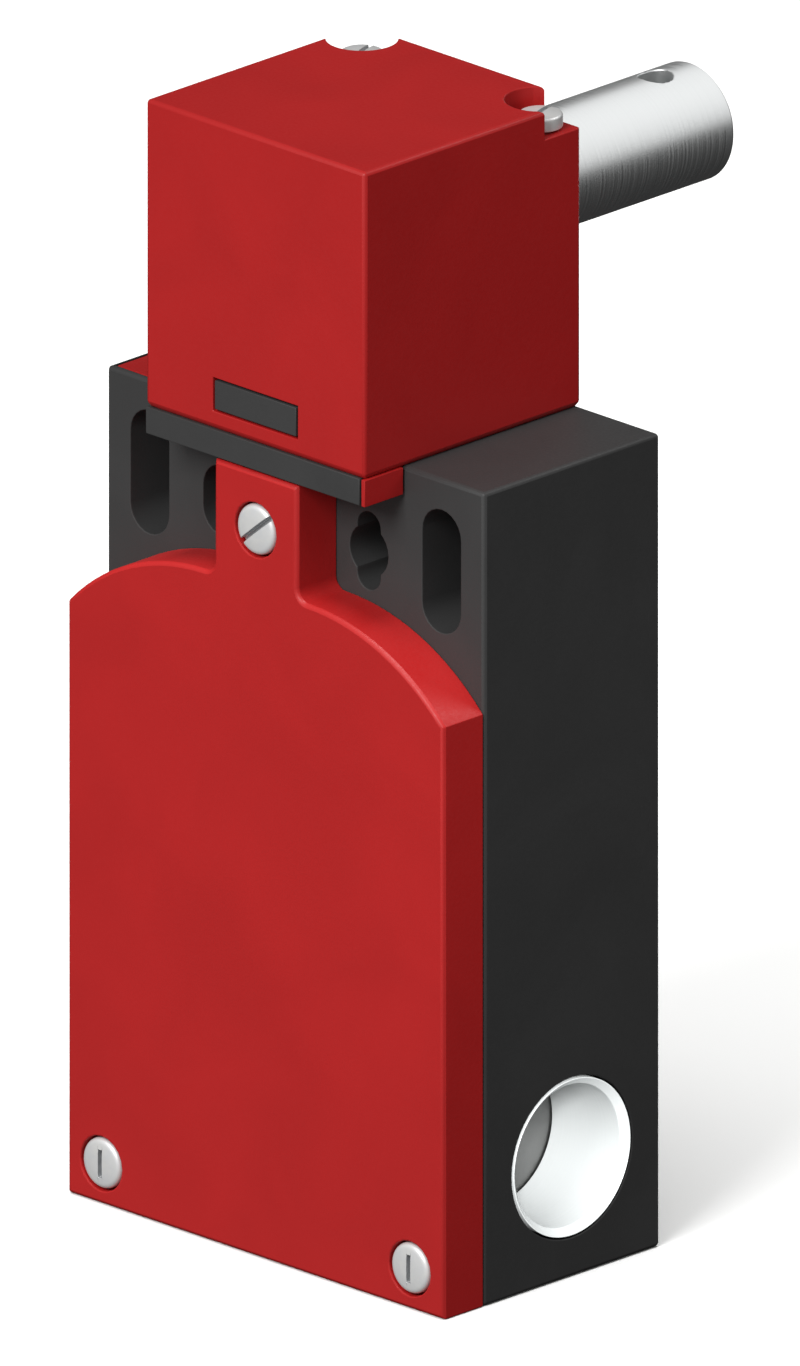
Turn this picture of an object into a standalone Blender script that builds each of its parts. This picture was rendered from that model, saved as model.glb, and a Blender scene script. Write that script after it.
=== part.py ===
"""Safety hinge switch: moulded housing and cover, actuating head with a solid shaft, contact block inside.

Frame: +Z up, origin at the middle of the housing's bottom face, the cover looks along -Y, the shaft points
along +Y. All sizes are in metres.
"""

import math

import bmesh
import bpy
from mathutils import Matrix, Vector

# Clearances, and how far a cutter runs past a surface or a joined piece reaches into its neighbour
SEAT_GAP = 0.00025
RUNNING_GAP = 0.00025
OVERRUN = 0.0010
OVERLAP = 0.0003

# Housing
HOUSING_WIDTH = 0.0520
HOUSING_DEPTH = 0.0244
HOUSING_HEIGHT = 0.0846
SIDE_WALL = 0.0030
BACK_WALL = 0.0028
TOP_BLOCK = 0.0251
EDGE_ROUND = 0.0004
CAVITY_CORNER = 0.0012

# Lip under the head, and the hook that holds the front of the head
LIP_HEIGHT = 0.0028
HOOK_WIDTH = 0.0112
HOOK_THICKNESS = 0.0016
HOOK_WINDOW_LOW = 0.0019
HOOK_WINDOW_HEIGHT = 0.0035

# Mounting slots
SLOT_WIDTH = 0.0053
LONG_SLOT_LENGTH = 0.0128
LONG_SLOT_INSET = 0.0059
LONG_SLOT_DROP = 0.0096
INNER_SLOT_SPACING = 0.0202
INNER_SLOT_LENGTH = 0.0073
INNER_SLOT_DROP = 0.0100
RELIEF_WIDTH = 0.0032
RELIEF_LENGTH = 0.0081

# Cover
COVER_THICKNESS = 0.0056
COVER_SIDE_STEP = 0.0001
COVER_SKIN = 0.0020
COVER_APEX_DROP = 0.01495
COVER_ARC_RADIUS = 0.0263
COVER_ARC_OFFSET = 0.0070
TAB_WIDTH = 0.0114
COVER_RIB_WIDTH = 0.0013
COVER_RIB_LENGTH = 0.0016
COVER_STIFFENER = 0.0012
COVER_STIFFENER_END_GAP = 0.0010

# Gasket
GASKET_WIDTH = 0.0010
GASKET_HEIGHT = 0.00095
GASKET_SIDE_GAP = 0.00005
GASKET_SEAT_SPARE = 0.0003

# Cover screws
SCREW_HEAD_RADIUS = 0.0026
SCREW_HEAD_HEIGHT = 0.0021
SCREW_HEAD_ROUND = 0.0006
SCREW_PROUD = 0.0002
SCREW_SHANK_RADIUS = 0.00145
SCREW_GRIP_TOP = 0.0057
SCREW_GRIP_BOTTOM = 0.0045
SCREW_SLOT_WIDTH = 0.00055
SCREW_SLOT_DEPTH = 0.0009
SCREW_SLOT_SHORT = 0.0029
TAB_SCREW_DROP = 0.0090
TAB_SCREW_TURN = math.radians(50.0)
CORNER_SCREW_INSET = 0.00475
CORNER_SCREW_HEIGHT = 0.0042
CORNER_BOSS_REACH = 0.0041

# Cable entry on the right-hand side
ENTRY_HEIGHT = 0.0124
ENTRY_DEPTH = 0.0103
ENTRY_MOUTH_RADIUS = 0.0080
ENTRY_CHAMFER = 0.0007
ENTRY_RIM = 0.0001
ENTRY_BOSS_WALL = 0.00185
ENTRY_BACK_SKIN = 0.0010
ENTRY_DISC_THICKNESS = 0.0012
ENTRY_SHOULDER = 0.0017

# Head
HEAD_WIDTH = 0.0302
HEAD_HEIGHT = 0.0320
HEAD_SIDE_WALL = 0.0033
HEAD_FRONT_WALL = 0.0035
HEAD_REAR_WALL = 0.00545
HEAD_ROOF = 0.0032
HEAD_ROOM_CORNER = 0.0010
HEAD_SCREW_INSET = 0.0028
HEAD_SCREW_WELL_RADIUS = 0.00356
HEAD_SCREW_WELL_DEPTH = 0.0030
HEAD_SCREW_HEAD_RADIUS = 0.0022
HEAD_SCREW_HEAD_HEIGHT = 0.0015
HEAD_SCREW_HEAD_ROUND = 0.0003
HEAD_SCREW_SLOT_DEPTH = 0.0006
HEAD_SCREW_SHANK_RADIUS = 0.00125
HEAD_SCREW_GRIP = 0.0050
HEAD_SCREW_TURN = math.radians(20.0)

# Seat plate between housing and head
PLATE_THICKNESS = 0.0010
PLATE_RIM = 0.0005
PLATE_CHEEK = 0.0005
PLATE_NECK = 0.0010
PLATE_NECK_STEP = 0.0005
PLATE_PLUNGER_GAP = 0.0007

# Shaft, cam and bearings
AXIS_HEIGHT = 0.0180
SHAFT_RADIUS = 0.0060
SHAFT_REACH = 0.0309
SHAFT_CHAMFER = 0.0006
SHAFT_SEAT_RADIUS = 0.0050
SHAFT_SEAT_REACH = 0.0030
SHAFT_STEP_GAP = 0.0002
SHAFT_JOURNAL_RADIUS = 0.0030
SHAFT_JOURNAL_CHAMFER = 0.0004
SHAFT_HOLE_RADIUS = 0.00175
SHAFT_HOLE_FROM_HEAD = 0.0255
FRONT_BORE_DEPTH = 0.0020
FRONT_BUSH_WALL = 0.00125
FRONT_FLANGE_RIM = 0.0020
FRONT_FLANGE_THICKNESS = 0.00125
REAR_BUSH_WALL = 0.0020
REAR_BUSH_LENGTH = 0.0034
SEAL_LENGTH = 0.0013
SEAL_LIP = 0.0008
SEAL_SCRAPER = 0.0006
WASHER_WIDTH = 0.00175
WASHER_THICKNESS = 0.0011
WASHER_GAP = 0.00035
CAM_RADIUS = 0.0095
CAM_WIDTH = 0.0080
CAM_NOTCH_DEPTH = 0.0022
CAM_NOTCH_FLOOR = 0.0024
CAM_NOTCH_MOUTH = 0.0082
CAM_PIN_RADIUS = 0.0014
CAM_PIN_INSET = 0.0007

# Plunger and what guides it
PLUNGER_SETBACK = 0.0112
PLUNGER_RADIUS = 0.0025
PLUNGER_STROKE = 0.0020
PLUNGER_CAM_GAP = 0.0003
COLLAR_RIM = 0.0014
COLLAR_HEIGHT = 0.0024
COLLAR_SIDE_GAP = 0.0006
GUIDE_WALL = 0.00125
GUIDE_FLANGE_RIM = 0.0015
GUIDE_FLANGE_HEIGHT = 0.0010
GUIDE_LENGTH = 0.00925
BOOT_FOOT_RIM = 0.0029
BOOT_FOOT_HEIGHT = 0.0011
BOOT_HEIGHT = 0.0043
BOOT_WALL_LOW = 0.0021
BOOT_WALL_MIDDLE = 0.0016
BOOT_WALL_TOP = 0.0011

# Contact block
BLOCK_WIDTH = 0.0320
BLOCK_FRONT_REACH = 0.0085
BLOCK_TOP_GAP = 0.0025
BLOCK_ENTRY_GAP = 0.0014
BLOCK_FLOOR = 0.0020
BLOCK_SIDE_GAP = 0.0006
BLOCK_BOSS_RADIUS = 0.0029
BLOCK_BOSS_HEIGHT = 0.0039
BLOCK_THREAD_DEPTH = 0.0015
BLOCK_EAR_HEIGHT = 0.0080
BLOCK_EAR_THICKNESS = 0.0026
BLOCK_SCREW_HEAD_RADIUS = 0.0026
BLOCK_SCREW_HEAD_HEIGHT = 0.0018
BLOCK_SCREW_HEAD_ROUND = 0.0004
BLOCK_SCREW_TURN = math.radians(35.0)
CHANNEL_WIDTH = 0.0130
CHANNEL_FRONT_WALL = 0.0040
CHANNEL_DEPTH = 0.0090
CARRIER_STEM_RADIUS = 0.0035
CARRIER_STEM_REACH = 0.0012
CARRIER_SPARE = 0.0010
CARRIER_TOP_DROP = 0.0010
LEVELS = 3
LEVEL_RIB = 0.0014
LEVEL_TOP_MARGIN = 0.0012
CLOSING_LEVEL = 0
CLOSING_LIFT = 0.0016
POCKET_WALL = 0.0010
POCKET_BACK_GAP = 0.0010
BRIDGE_THICKNESS = 0.0008
BRIDGE_DEPTH = 0.0046
BRIDGE_END = 0.0005
CONTACT_RADIUS = 0.0014
CONTACT_HEIGHT = 0.0005
CONTACT_INSET = 0.0010
TERMINAL_SHEET = 0.0008
TERMINAL_WIDTH = 0.0052
TERMINAL_SIDE_GAP = 0.0008
TERMINAL_SETBACK = 0.0021
TERMINAL_SCREW_RADIUS = 0.0021
TERMINAL_SCREW_HEAD = 0.0014
TERMINAL_SCREW_ROUND = 0.0002
TERMINAL_SCREW_DROP = 0.0004
TERMINAL_SCREW_REACH = 0.0022
TERMINAL_SHANK_RADIUS = 0.0011
TERMINAL_SLOT_SIZE = 0.0006
SPRING_RADIUS = 0.0024
SPRING_WIRE = 0.0003
SPRING_TURNS = 4
SPRING_TURN_POINTS = 10
SPRING_POCKET_DEPTH = 0.0030
SPRING_SIDE_GAP = 0.0004

# Number of sides of round shapes, and of steps in an arc
FINE = 48
MEDIUM = 32
COARSE = 20
SMALL = 12
ARC_STEPS = 14
SLOT_END_STEPS = 12
FILLET_STEPS = 5
DOME_STEPS = 6

# Planes and lines that the pieces share
HALF_WIDTH = HOUSING_WIDTH / 2
FRONT_Y = -HOUSING_DEPTH / 2
BACK_Y = HOUSING_DEPTH / 2
FACE_Y = FRONT_Y - COVER_THICKNESS
CAVITY_HALF = HALF_WIDTH - SIDE_WALL
CAVITY_FLOOR = SIDE_WALL
CAVITY_TOP = HOUSING_HEIGHT - TOP_BLOCK
CAVITY_BACK = BACK_Y - BACK_WALL
CORNER_SCREW_X = HALF_WIDTH - CORNER_SCREW_INSET
CORNER_BOSS_SIDE = CORNER_SCREW_X - CORNER_BOSS_REACH
CORNER_BOSS_TOP = CORNER_SCREW_HEIGHT + CORNER_BOSS_REACH
TAB_SCREW_Z = HOUSING_HEIGHT - TAB_SCREW_DROP
LIP_BOTTOM = HOUSING_HEIGHT - LIP_HEIGHT
PLATE_FLOOR = HOUSING_HEIGHT - PLATE_THICKNESS - SEAT_GAP

ENTRY_BORE_RADIUS = ENTRY_MOUTH_RADIUS - ENTRY_CHAMFER
ENTRY_BUSH_RADIUS = ENTRY_MOUTH_RADIUS + ENTRY_RIM
ENTRY_BOSS_RADIUS = min(ENTRY_BUSH_RADIUS + SEAT_GAP + ENTRY_BOSS_WALL, BACK_Y - ENTRY_BACK_SKIN)
ENTRY_DISC_FACE = HALF_WIDTH - ENTRY_DEPTH
ENTRY_DISC_BACK = ENTRY_DISC_FACE - ENTRY_DISC_THICKNESS

HEAD_HALF = HEAD_WIDTH / 2
HEAD_BOTTOM = HOUSING_HEIGHT + SEAT_GAP
HEAD_TOP = HOUSING_HEIGHT + HEAD_HEIGHT
HEAD_INSIDE_FRONT = FACE_Y + HEAD_FRONT_WALL
HEAD_INSIDE_REAR = BACK_Y - HEAD_REAR_WALL
HEAD_INSIDE_TOP = HEAD_TOP - HEAD_ROOF
HEAD_SCREW_X = HEAD_HALF - HEAD_SCREW_INSET
HEAD_SCREW_Y = BACK_Y - HEAD_SCREW_INSET
HEAD_WELL_FLOOR = HEAD_TOP - HEAD_SCREW_WELL_DEPTH
WINDOW_LOW = HOUSING_HEIGHT + HOOK_WINDOW_LOW
WINDOW_HIGH = WINDOW_LOW + HOOK_WINDOW_HEIGHT
HOOK_FRONT = HEAD_INSIDE_FRONT + SEAT_GAP

PLUNGER_Y = BACK_Y - PLUNGER_SETBACK
AXIS_Z = HOUSING_HEIGHT + AXIS_HEIGHT
CAM_FRONT = PLUNGER_Y - CAM_WIDTH / 2
CAM_BACK = PLUNGER_Y + CAM_WIDTH / 2
REAR_BUSH_RADIUS = SHAFT_RADIUS + RUNNING_GAP + REAR_BUSH_WALL
FRONT_BUSH_RADIUS = SHAFT_JOURNAL_RADIUS + RUNNING_GAP + FRONT_BUSH_WALL
FRONT_BORE_END = HEAD_INSIDE_FRONT - FRONT_BORE_DEPTH
PLUNGER_TIP = AXIS_Z - CAM_RADIUS - PLUNGER_CAM_GAP
COLLAR_RADIUS = PLUNGER_RADIUS + COLLAR_RIM
GUIDE_RADIUS = PLUNGER_RADIUS + RUNNING_GAP + GUIDE_WALL
GUIDE_FLANGE_RADIUS = GUIDE_RADIUS + GUIDE_FLANGE_RIM
GUIDE_TOP = PLATE_FLOOR - SEAT_GAP
GUIDE_FLANGE_LOW = GUIDE_TOP - GUIDE_FLANGE_HEIGHT
GUIDE_BOTTOM = GUIDE_TOP - GUIDE_LENGTH
COLLAR_TOP = GUIDE_BOTTOM - SEAT_GAP

BLOCK_HALF = BLOCK_WIDTH / 2
BLOCK_TOP = CAVITY_TOP - BLOCK_TOP_GAP
BLOCK_BOTTOM = ENTRY_HEIGHT + ENTRY_BOSS_RADIUS + BLOCK_ENTRY_GAP
BLOCK_FRONT = PLUNGER_Y - BLOCK_FRONT_REACH
BLOCK_BACK = CAVITY_BACK - SEAT_GAP
BLOCK_EAR_WIDTH = CAVITY_HALF - BLOCK_SIDE_GAP - BLOCK_HALF
BLOCK_EAR_BACK = CAVITY_BACK - BLOCK_BOSS_HEIGHT - SEAT_GAP
BLOCK_EAR_FRONT = BLOCK_EAR_BACK - BLOCK_EAR_THICKNESS
CHANNEL_HALF = CHANNEL_WIDTH / 2
CHANNEL_FRONT = BLOCK_FRONT + CHANNEL_FRONT_WALL
CHANNEL_BACK = CHANNEL_FRONT + CHANNEL_DEPTH
CHANNEL_FLOOR = BLOCK_BOTTOM + BLOCK_FLOOR
CARRIER_BOTTOM = CHANNEL_FLOOR + PLUNGER_STROKE + CARRIER_SPARE
CARRIER_TOP = CAVITY_TOP + CARRIER_STEM_REACH
SPRING_POCKET_TOP = CARRIER_BOTTOM + SPRING_POCKET_DEPTH
LEVEL_PITCH = (BLOCK_TOP - LEVEL_TOP_MARGIN - SPRING_POCKET_TOP) / LEVELS
POCKET_HEIGHT = LEVEL_PITCH - LEVEL_RIB
POCKET_CENTRES = [SPRING_POCKET_TOP + LEVEL_PITCH * (level + 0.5) for level in range(LEVELS)]
POCKET_REACH = BLOCK_HALF - POCKET_WALL
TERMINAL_CENTRE = POCKET_REACH - TERMINAL_SIDE_GAP - TERMINAL_WIDTH / 2
TERMINAL_FACE = BLOCK_FRONT + TERMINAL_SETBACK
CONTACT_X = TERMINAL_CENTRE - CONTACT_INSET
BRIDGE_REACH = CONTACT_X + CONTACT_RADIUS + BRIDGE_END


def material(name, colour, roughness, metallic=0.0):
    """A Principled material from an sRGB colour."""
    mat = bpy.data.materials.new(name)
    mat.use_nodes = True
    linear = [c / 12.92 if c <= 0.04045 else ((c + 0.055) / 1.055) ** 2.4 for c in colour]
    mat.diffuse_color = (*linear, 1.0)
    shader = mat.node_tree.nodes["Principled BSDF"]
    shader.inputs["Base Color"].default_value = (*linear, 1.0)
    shader.inputs["Roughness"].default_value = roughness
    shader.inputs["Metallic"].default_value = metallic
    return mat


def make_object(name, bm, finish=None):
    """Turns a bmesh into a named object with outward faces."""
    bmesh.ops.recalc_face_normals(bm, faces=bm.faces)
    mesh = bpy.data.meshes.new(name)
    bm.to_mesh(mesh)
    bm.free()
    obj = bpy.data.objects.new(name, mesh)
    bpy.context.scene.collection.objects.link(obj)
    if finish:
        mesh.materials.append(finish)
    return obj


def box(name, low, high, round_edges=0.0, finish=None):
    """A block between two corners, its edges rounded if asked."""
    bm = bmesh.new()
    bmesh.ops.create_cube(bm, size=1.0)
    for vert in bm.verts:
        vert.co = [low[k] + (vert.co[k] + 0.5) * (high[k] - low[k]) for k in range(3)]
    if round_edges > 0.0:
        bmesh.ops.bevel(bm, geom=bm.edges[:], offset=round_edges, segments=2, profile=0.5, affect="EDGES")
    return make_object(name, bm, finish)


def place(axis, along, a, b):
    """A point at a distance along one axis and at (a, b) on the other two, in X, Y, Z order."""
    if axis == "x":
        return (along, a, b)
    if axis == "y":
        return (a, along, b)
    return (a, b, along)


def prism(name, outline, axis, low, high, finish=None, round_low=0.0):
    """An outline extruded along an axis, with the edges of its low end rounded if asked."""
    bm = bmesh.new()
    first = [bm.verts.new(place(axis, low, a, b)) for a, b in outline]
    last = [bm.verts.new(place(axis, high, a, b)) for a, b in outline]
    low_face = bm.faces.new(first)
    bm.faces.new(last)
    count = len(outline)
    for k in range(count):
        bm.faces.new((first[k], first[(k + 1) % count], last[(k + 1) % count], last[k]))
    bmesh.ops.recalc_face_normals(bm, faces=bm.faces)
    if round_low > 0.0:
        bmesh.ops.bevel(bm, geom=list(low_face.edges), offset=round_low, segments=2, profile=0.5,
                        affect="EDGES")
    return make_object(name, bm, finish)


def turned(name, profile, axis, centre, sides, finish=None, ring=False):
    """A profile of (radius, height) points turned about an axis through centre.

    A solid profile starts and ends on the axis. A ring's profile is a closed loop away from it.
    """
    bm = bmesh.new()
    rings = []
    for radius, along in profile:
        points = [centre] if radius == 0.0 else arc(centre, radius, 0.0, 2 * math.pi, sides)[:-1]
        rings.append([bm.verts.new(place(axis, along, *point)) for point in points])
    pairs = list(zip(rings, rings[1:]))
    if ring:
        pairs.append((rings[-1], rings[0]))
    for one, two in pairs:
        for k in range(sides):
            after = (k + 1) % sides
            corners = [one[k % len(one)], one[after % len(one)], two[after % len(two)], two[k % len(two)]]
            bm.faces.new(list(dict.fromkeys(corners)))
    return make_object(name, bm, finish)


def rod(name, axis, centre, radius, low, high, sides=SMALL, finish=None):
    """A plain round bar."""
    return stepped(name, axis, centre, low, [(radius, high)], sides, finish)


def stepped(name, axis, centre, start, steps, sides=SMALL, finish=None):
    """A round bar in steps: each step is (radius, where it ends), from start onwards."""
    profile = [(0.0, start)]
    low = start
    for radius, high in steps:
        profile += [(radius, low), (radius, high)]
        low = high
    return turned(name, profile + [(0.0, low)], axis, centre, sides, finish)


def tube(name, axis, centre, outer, inner, low, high, sides, finish):
    """A plain round sleeve."""
    profile = [(outer, low), (outer, high), (inner, high), (inner, low)]
    return turned(name, profile, axis, centre, sides, finish, ring=True)


def apply_boolean(target, tool, operation):
    """Joins or cuts with an exact Boolean and bakes the result into the target's own mesh."""
    modifier = target.modifiers.new(operation.lower(), "BOOLEAN")
    modifier.operation = operation
    modifier.solver = "EXACT"
    modifier.object = tool
    bpy.context.view_layer.update()
    depsgraph = bpy.context.evaluated_depsgraph_get()
    result = bpy.data.meshes.new_from_object(target.evaluated_get(depsgraph))
    target.modifiers.remove(modifier)
    spent = target.data
    target.data = result
    bpy.data.meshes.remove(spent)
    result.name = target.name
    spent_tool = tool.data
    bpy.data.objects.remove(tool)
    bpy.data.meshes.remove(spent_tool)


def cut(target, *tools):
    """Takes each tool away from the target."""
    for tool in tools:
        apply_boolean(target, tool, "DIFFERENCE")


def join(target, *tools):
    """Adds each tool to the target as one body."""
    for tool in tools:
        apply_boolean(target, tool, "UNION")


def turn_about(obj, point, axis, angle):
    """Turns a mesh about a line through a point."""
    turn = Matrix.Translation(point) @ Matrix.Rotation(angle, 4, axis) @ Matrix.Translation(-Vector(point))
    obj.data.transform(turn)


def set_origin(obj, point):
    """Moves an object's origin to a point without moving its mesh."""
    obj.data.transform(Matrix.Translation(-Vector(point)))
    obj.location = point


def arc(centre, radius, start, end, steps):
    """Points on an arc from one angle to another, in radians, both ends included."""
    angles = [start + (end - start) * k / steps for k in range(steps + 1)]
    return [(centre[0] + radius * math.cos(t), centre[1] + radius * math.sin(t)) for t in angles]


def obround(centre, width, length):
    """A slot outline standing on end: two half circles joined by straight sides."""
    radius = width / 2
    half = length / 2 - radius
    top = arc((centre[0], centre[1] + half), radius, 0.0, math.pi, SLOT_END_STEPS)
    bottom = arc((centre[0], centre[1] - half), radius, math.pi, 2 * math.pi, SLOT_END_STEPS)
    if half <= 0.0:
        return top[:-1] + bottom[:-1]
    return top + bottom


def offset_outline(corners, distance):
    """Moves the sides of an anticlockwise polygon outwards by a distance."""
    moved = []
    count = len(corners)
    for k in range(count):
        before = Vector(corners[k - 1])
        here = Vector(corners[k])
        after = Vector(corners[(k + 1) % count])
        side_in = (here - before).normalized()
        side_out = (after - here).normalized()
        normal_in = Vector((side_in.y, -side_in.x))
        normal_out = Vector((side_out.y, -side_out.x))
        mitre = (normal_in + normal_out) / (1.0 + normal_in.dot(normal_out))
        moved.append(tuple(here + mitre * distance))
    return moved


def round_corners(corners, radius, steps=3):
    """Replaces each corner of a polygon by an arc of a radius, inner corners too."""
    points = []
    count = len(corners)
    for k in range(count):
        here = Vector(corners[k])
        back = (Vector(corners[k - 1]) - here).normalized()
        ahead = (Vector(corners[(k + 1) % count]) - here).normalized()
        half_angle = back.angle(ahead) / 2
        reach = radius / math.tan(half_angle)
        middle = here + (back + ahead).normalized() * radius / math.sin(half_angle)
        start = here + back * reach - middle
        end = here + ahead * reach - middle
        sweep = start.angle_signed(end)
        for step in range(steps + 1):
            point = start.copy()
            point.rotate(Matrix.Rotation(-sweep * step / steps, 2))
            points.append(tuple(middle + point))
    return points


def rectangle(x_low, x_high, y_low, y_high):
    """Four corners, anticlockwise."""
    return [(x_low, y_low), (x_high, y_low), (x_high, y_high), (x_low, y_high)]


def cavity_corners():
    """The housing's opening seen from the front: a rectangle less a block for each lower cover screw."""
    side = CORNER_BOSS_SIDE
    return [
        (-side, CAVITY_FLOOR), (side, CAVITY_FLOOR), (side, CORNER_BOSS_TOP), (CAVITY_HALF, CORNER_BOSS_TOP),
        (CAVITY_HALF, CAVITY_TOP), (-CAVITY_HALF, CAVITY_TOP), (-CAVITY_HALF, CORNER_BOSS_TOP),
        (-side, CORNER_BOSS_TOP),
    ]


def cavity_outline(distance):
    """The opening's outline, moved outwards by a distance, with rounded corners."""
    return round_corners(offset_outline(cavity_corners(), distance), CAVITY_CORNER)


def plate_outline(grow):
    """The seat plate seen from above: under the head, over the lip, and out to the left-hand side."""
    left = -HALF_WIDTH + PLATE_RIM + SEAT_GAP - grow
    lip_left = -HEAD_HALF + PLATE_RIM + SEAT_GAP - grow
    right = HEAD_HALF - PLATE_CHEEK - SEAT_GAP + grow
    front = FACE_Y + PLATE_RIM + SEAT_GAP - grow
    shelf = FRONT_Y + PLATE_RIM + SEAT_GAP - grow
    back = BACK_Y - PLATE_RIM - SEAT_GAP + grow
    return [(lip_left, front), (right, front), (right, back), (left, back), (left, shelf), (lip_left, shelf)]


def cover_outline():
    """The cover from the front: straight sides, two arcs up to the tab, a fillet at the tab's root."""
    half = HALF_WIDTH - COVER_SIDE_STEP
    apex = HOUSING_HEIGHT - COVER_APEX_DROP
    tab = TAB_WIDTH / 2
    fillet = COVER_ARC_OFFSET - tab
    shoulder = math.acos((half - COVER_ARC_OFFSET) / COVER_ARC_RADIUS)
    right = arc((COVER_ARC_OFFSET, apex - COVER_ARC_RADIUS), COVER_ARC_RADIUS, shoulder, math.pi / 2, ARC_STEPS)
    root = arc((COVER_ARC_OFFSET, apex + fillet), fillet, -math.pi / 2, -math.pi, FILLET_STEPS)[1:]
    right_side = right + root + [(tab, LIP_BOTTOM - SEAT_GAP)]
    left_side = [(-x, z) for x, z in reversed(right_side)]
    return [(-half, 0.0), (half, 0.0)] + right_side + left_side


def cover_screw_places():
    """Centres of the three cover screws: the tab's, then the lower left and right ones."""
    return [(0.0, TAB_SCREW_Z), (-CORNER_SCREW_X, CORNER_SCREW_HEIGHT), (CORNER_SCREW_X, CORNER_SCREW_HEIGHT)]


def block_screw_places():
    """Centres of the two screws that hold the contact block, on the block's ears."""
    x = BLOCK_HALF + BLOCK_EAR_WIDTH / 2
    z = (BLOCK_BOTTOM + BLOCK_TOP) / 2
    return [("left", -x, z), ("right", x, z)]


def bridge_height(level):
    """Height of a contact bridge: in the middle of its pocket, or above that on the closing level."""
    return POCKET_CENTRES[level] + (CLOSING_LIFT if level == CLOSING_LEVEL else 0.0)


def make_housing(finish):
    """Moulded box with a cavity at the front, the lip, and every boss, bore, slot and recess."""
    housing = box("housing", (-HALF_WIDTH, FRONT_Y, 0.0), (HALF_WIDTH, BACK_Y, HOUSING_HEIGHT),
                  EDGE_ROUND, finish)
    lip_end = HEAD_HALF - PLATE_CHEEK - SEAT_GAP
    join(housing, box("lip", (-HEAD_HALF, FACE_Y, LIP_BOTTOM), (lip_end, FRONT_Y + OVERRUN, HOUSING_HEIGHT)))
    gasket_seat = FRONT_Y + GASKET_HEIGHT + SEAT_GAP
    cut(housing,
        prism("cavity", cavity_outline(0.0), "y", FRONT_Y - OVERRUN, CAVITY_BACK),
        prism("seat", cavity_outline(GASKET_WIDTH + GASKET_SEAT_SPARE), "y", FRONT_Y - OVERRUN, gasket_seat))
    add_block_bosses(housing)
    add_entry_boss(housing)
    cut(housing, stepped("plunger_bore", "z", (0.0, PLUNGER_Y), CAVITY_TOP - OVERRUN, [
        (COLLAR_RADIUS + COLLAR_SIDE_GAP, COLLAR_TOP), (GUIDE_RADIUS + SEAT_GAP, GUIDE_FLANGE_LOW - SEAT_GAP),
        (GUIDE_FLANGE_RADIUS + SEAT_GAP, HOUSING_HEIGHT + OVERRUN),
    ], COARSE))
    cut_mounting_slots(housing)
    for (x, z), grip in zip(cover_screw_places(), (SCREW_GRIP_TOP, SCREW_GRIP_BOTTOM, SCREW_GRIP_BOTTOM)):
        cut(housing, rod("thread", "y", (x, z), SCREW_SHANK_RADIUS + SEAT_GAP, FRONT_Y - OVERRUN,
                         FRONT_Y + grip + SEAT_GAP))
    cut(housing, prism("plate_recess", plate_outline(SEAT_GAP), "z", PLATE_FLOOR, HOUSING_HEIGHT + OVERRUN))
    add_hook(housing)
    for x in (-HEAD_SCREW_X, HEAD_SCREW_X):
        cut(housing, rod("thread", "z", (x, HEAD_SCREW_Y), HEAD_SCREW_SHANK_RADIUS + SEAT_GAP,
                         HOUSING_HEIGHT - HEAD_SCREW_GRIP - SEAT_GAP, HOUSING_HEIGHT + OVERRUN))
    return housing


def add_block_bosses(housing):
    """Two bosses on the cavity's back wall that take the contact block's screws."""
    front = CAVITY_BACK - BLOCK_BOSS_HEIGHT
    for _, x, z in block_screw_places():
        join(housing, rod("boss", "y", (x, z), BLOCK_BOSS_RADIUS, front, CAVITY_BACK + OVERRUN, COARSE))
        cut(housing, rod("thread", "y", (x, z), SCREW_SHANK_RADIUS + SEAT_GAP, front - OVERRUN,
                         CAVITY_BACK + BLOCK_THREAD_DEPTH))


def add_entry_boss(housing):
    """The boss inside the right-hand wall that holds the cable entry's bush and disc."""
    centre = (0.0, ENTRY_HEIGHT)
    bore_end = ENTRY_DISC_BACK - SEAT_GAP
    boss_end = bore_end - ENTRY_SHOULDER
    join(housing, rod("boss", "x", centre, ENTRY_BOSS_RADIUS, boss_end, HALF_WIDTH - OVERRUN, MEDIUM))
    cut(housing, stepped("bore", "x", centre, boss_end - OVERRUN, [
        (ENTRY_BORE_RADIUS, bore_end), (ENTRY_BUSH_RADIUS + SEAT_GAP, HALF_WIDTH + OVERRUN),
    ], FINE))


def cut_mounting_slots(housing):
    """Two long outer slots, a short inner one on the left, and a round hole with a relief on the right."""
    long_x = HALF_WIDTH - LONG_SLOT_INSET
    long_z = HOUSING_HEIGHT - LONG_SLOT_DROP
    inner_x = INNER_SLOT_SPACING / 2
    inner_z = HOUSING_HEIGHT - INNER_SLOT_DROP
    for outline in (
        obround((-long_x, long_z), SLOT_WIDTH, LONG_SLOT_LENGTH),
        obround((long_x, long_z), SLOT_WIDTH, LONG_SLOT_LENGTH),
        obround((-inner_x, inner_z), SLOT_WIDTH, INNER_SLOT_LENGTH),
        obround((inner_x, inner_z), SLOT_WIDTH, SLOT_WIDTH),
        obround((inner_x, inner_z), RELIEF_WIDTH, RELIEF_LENGTH),
    ):
        cut(housing, prism("slot", outline, "y", FRONT_Y - OVERRUN, BACK_Y + OVERRUN))


def add_hook(housing):
    """The hook that rises through the seat plate, with its nose in the window of the head."""
    half = HOOK_WIDTH / 2
    nose_low = WINDOW_LOW + SEAT_GAP
    nose_high = WINDOW_HIGH - SEAT_GAP
    stem_back = HOOK_FRONT + HOOK_THICKNESS
    hook = box("hook", (-half, HOOK_FRONT, PLATE_FLOOR - OVERLAP), (half, stem_back, nose_high))
    join(hook, box("nose", (-half, FACE_Y, nose_low), (half, stem_back - HOOK_THICKNESS / 2, nose_high)))
    join(housing, hook)


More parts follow.
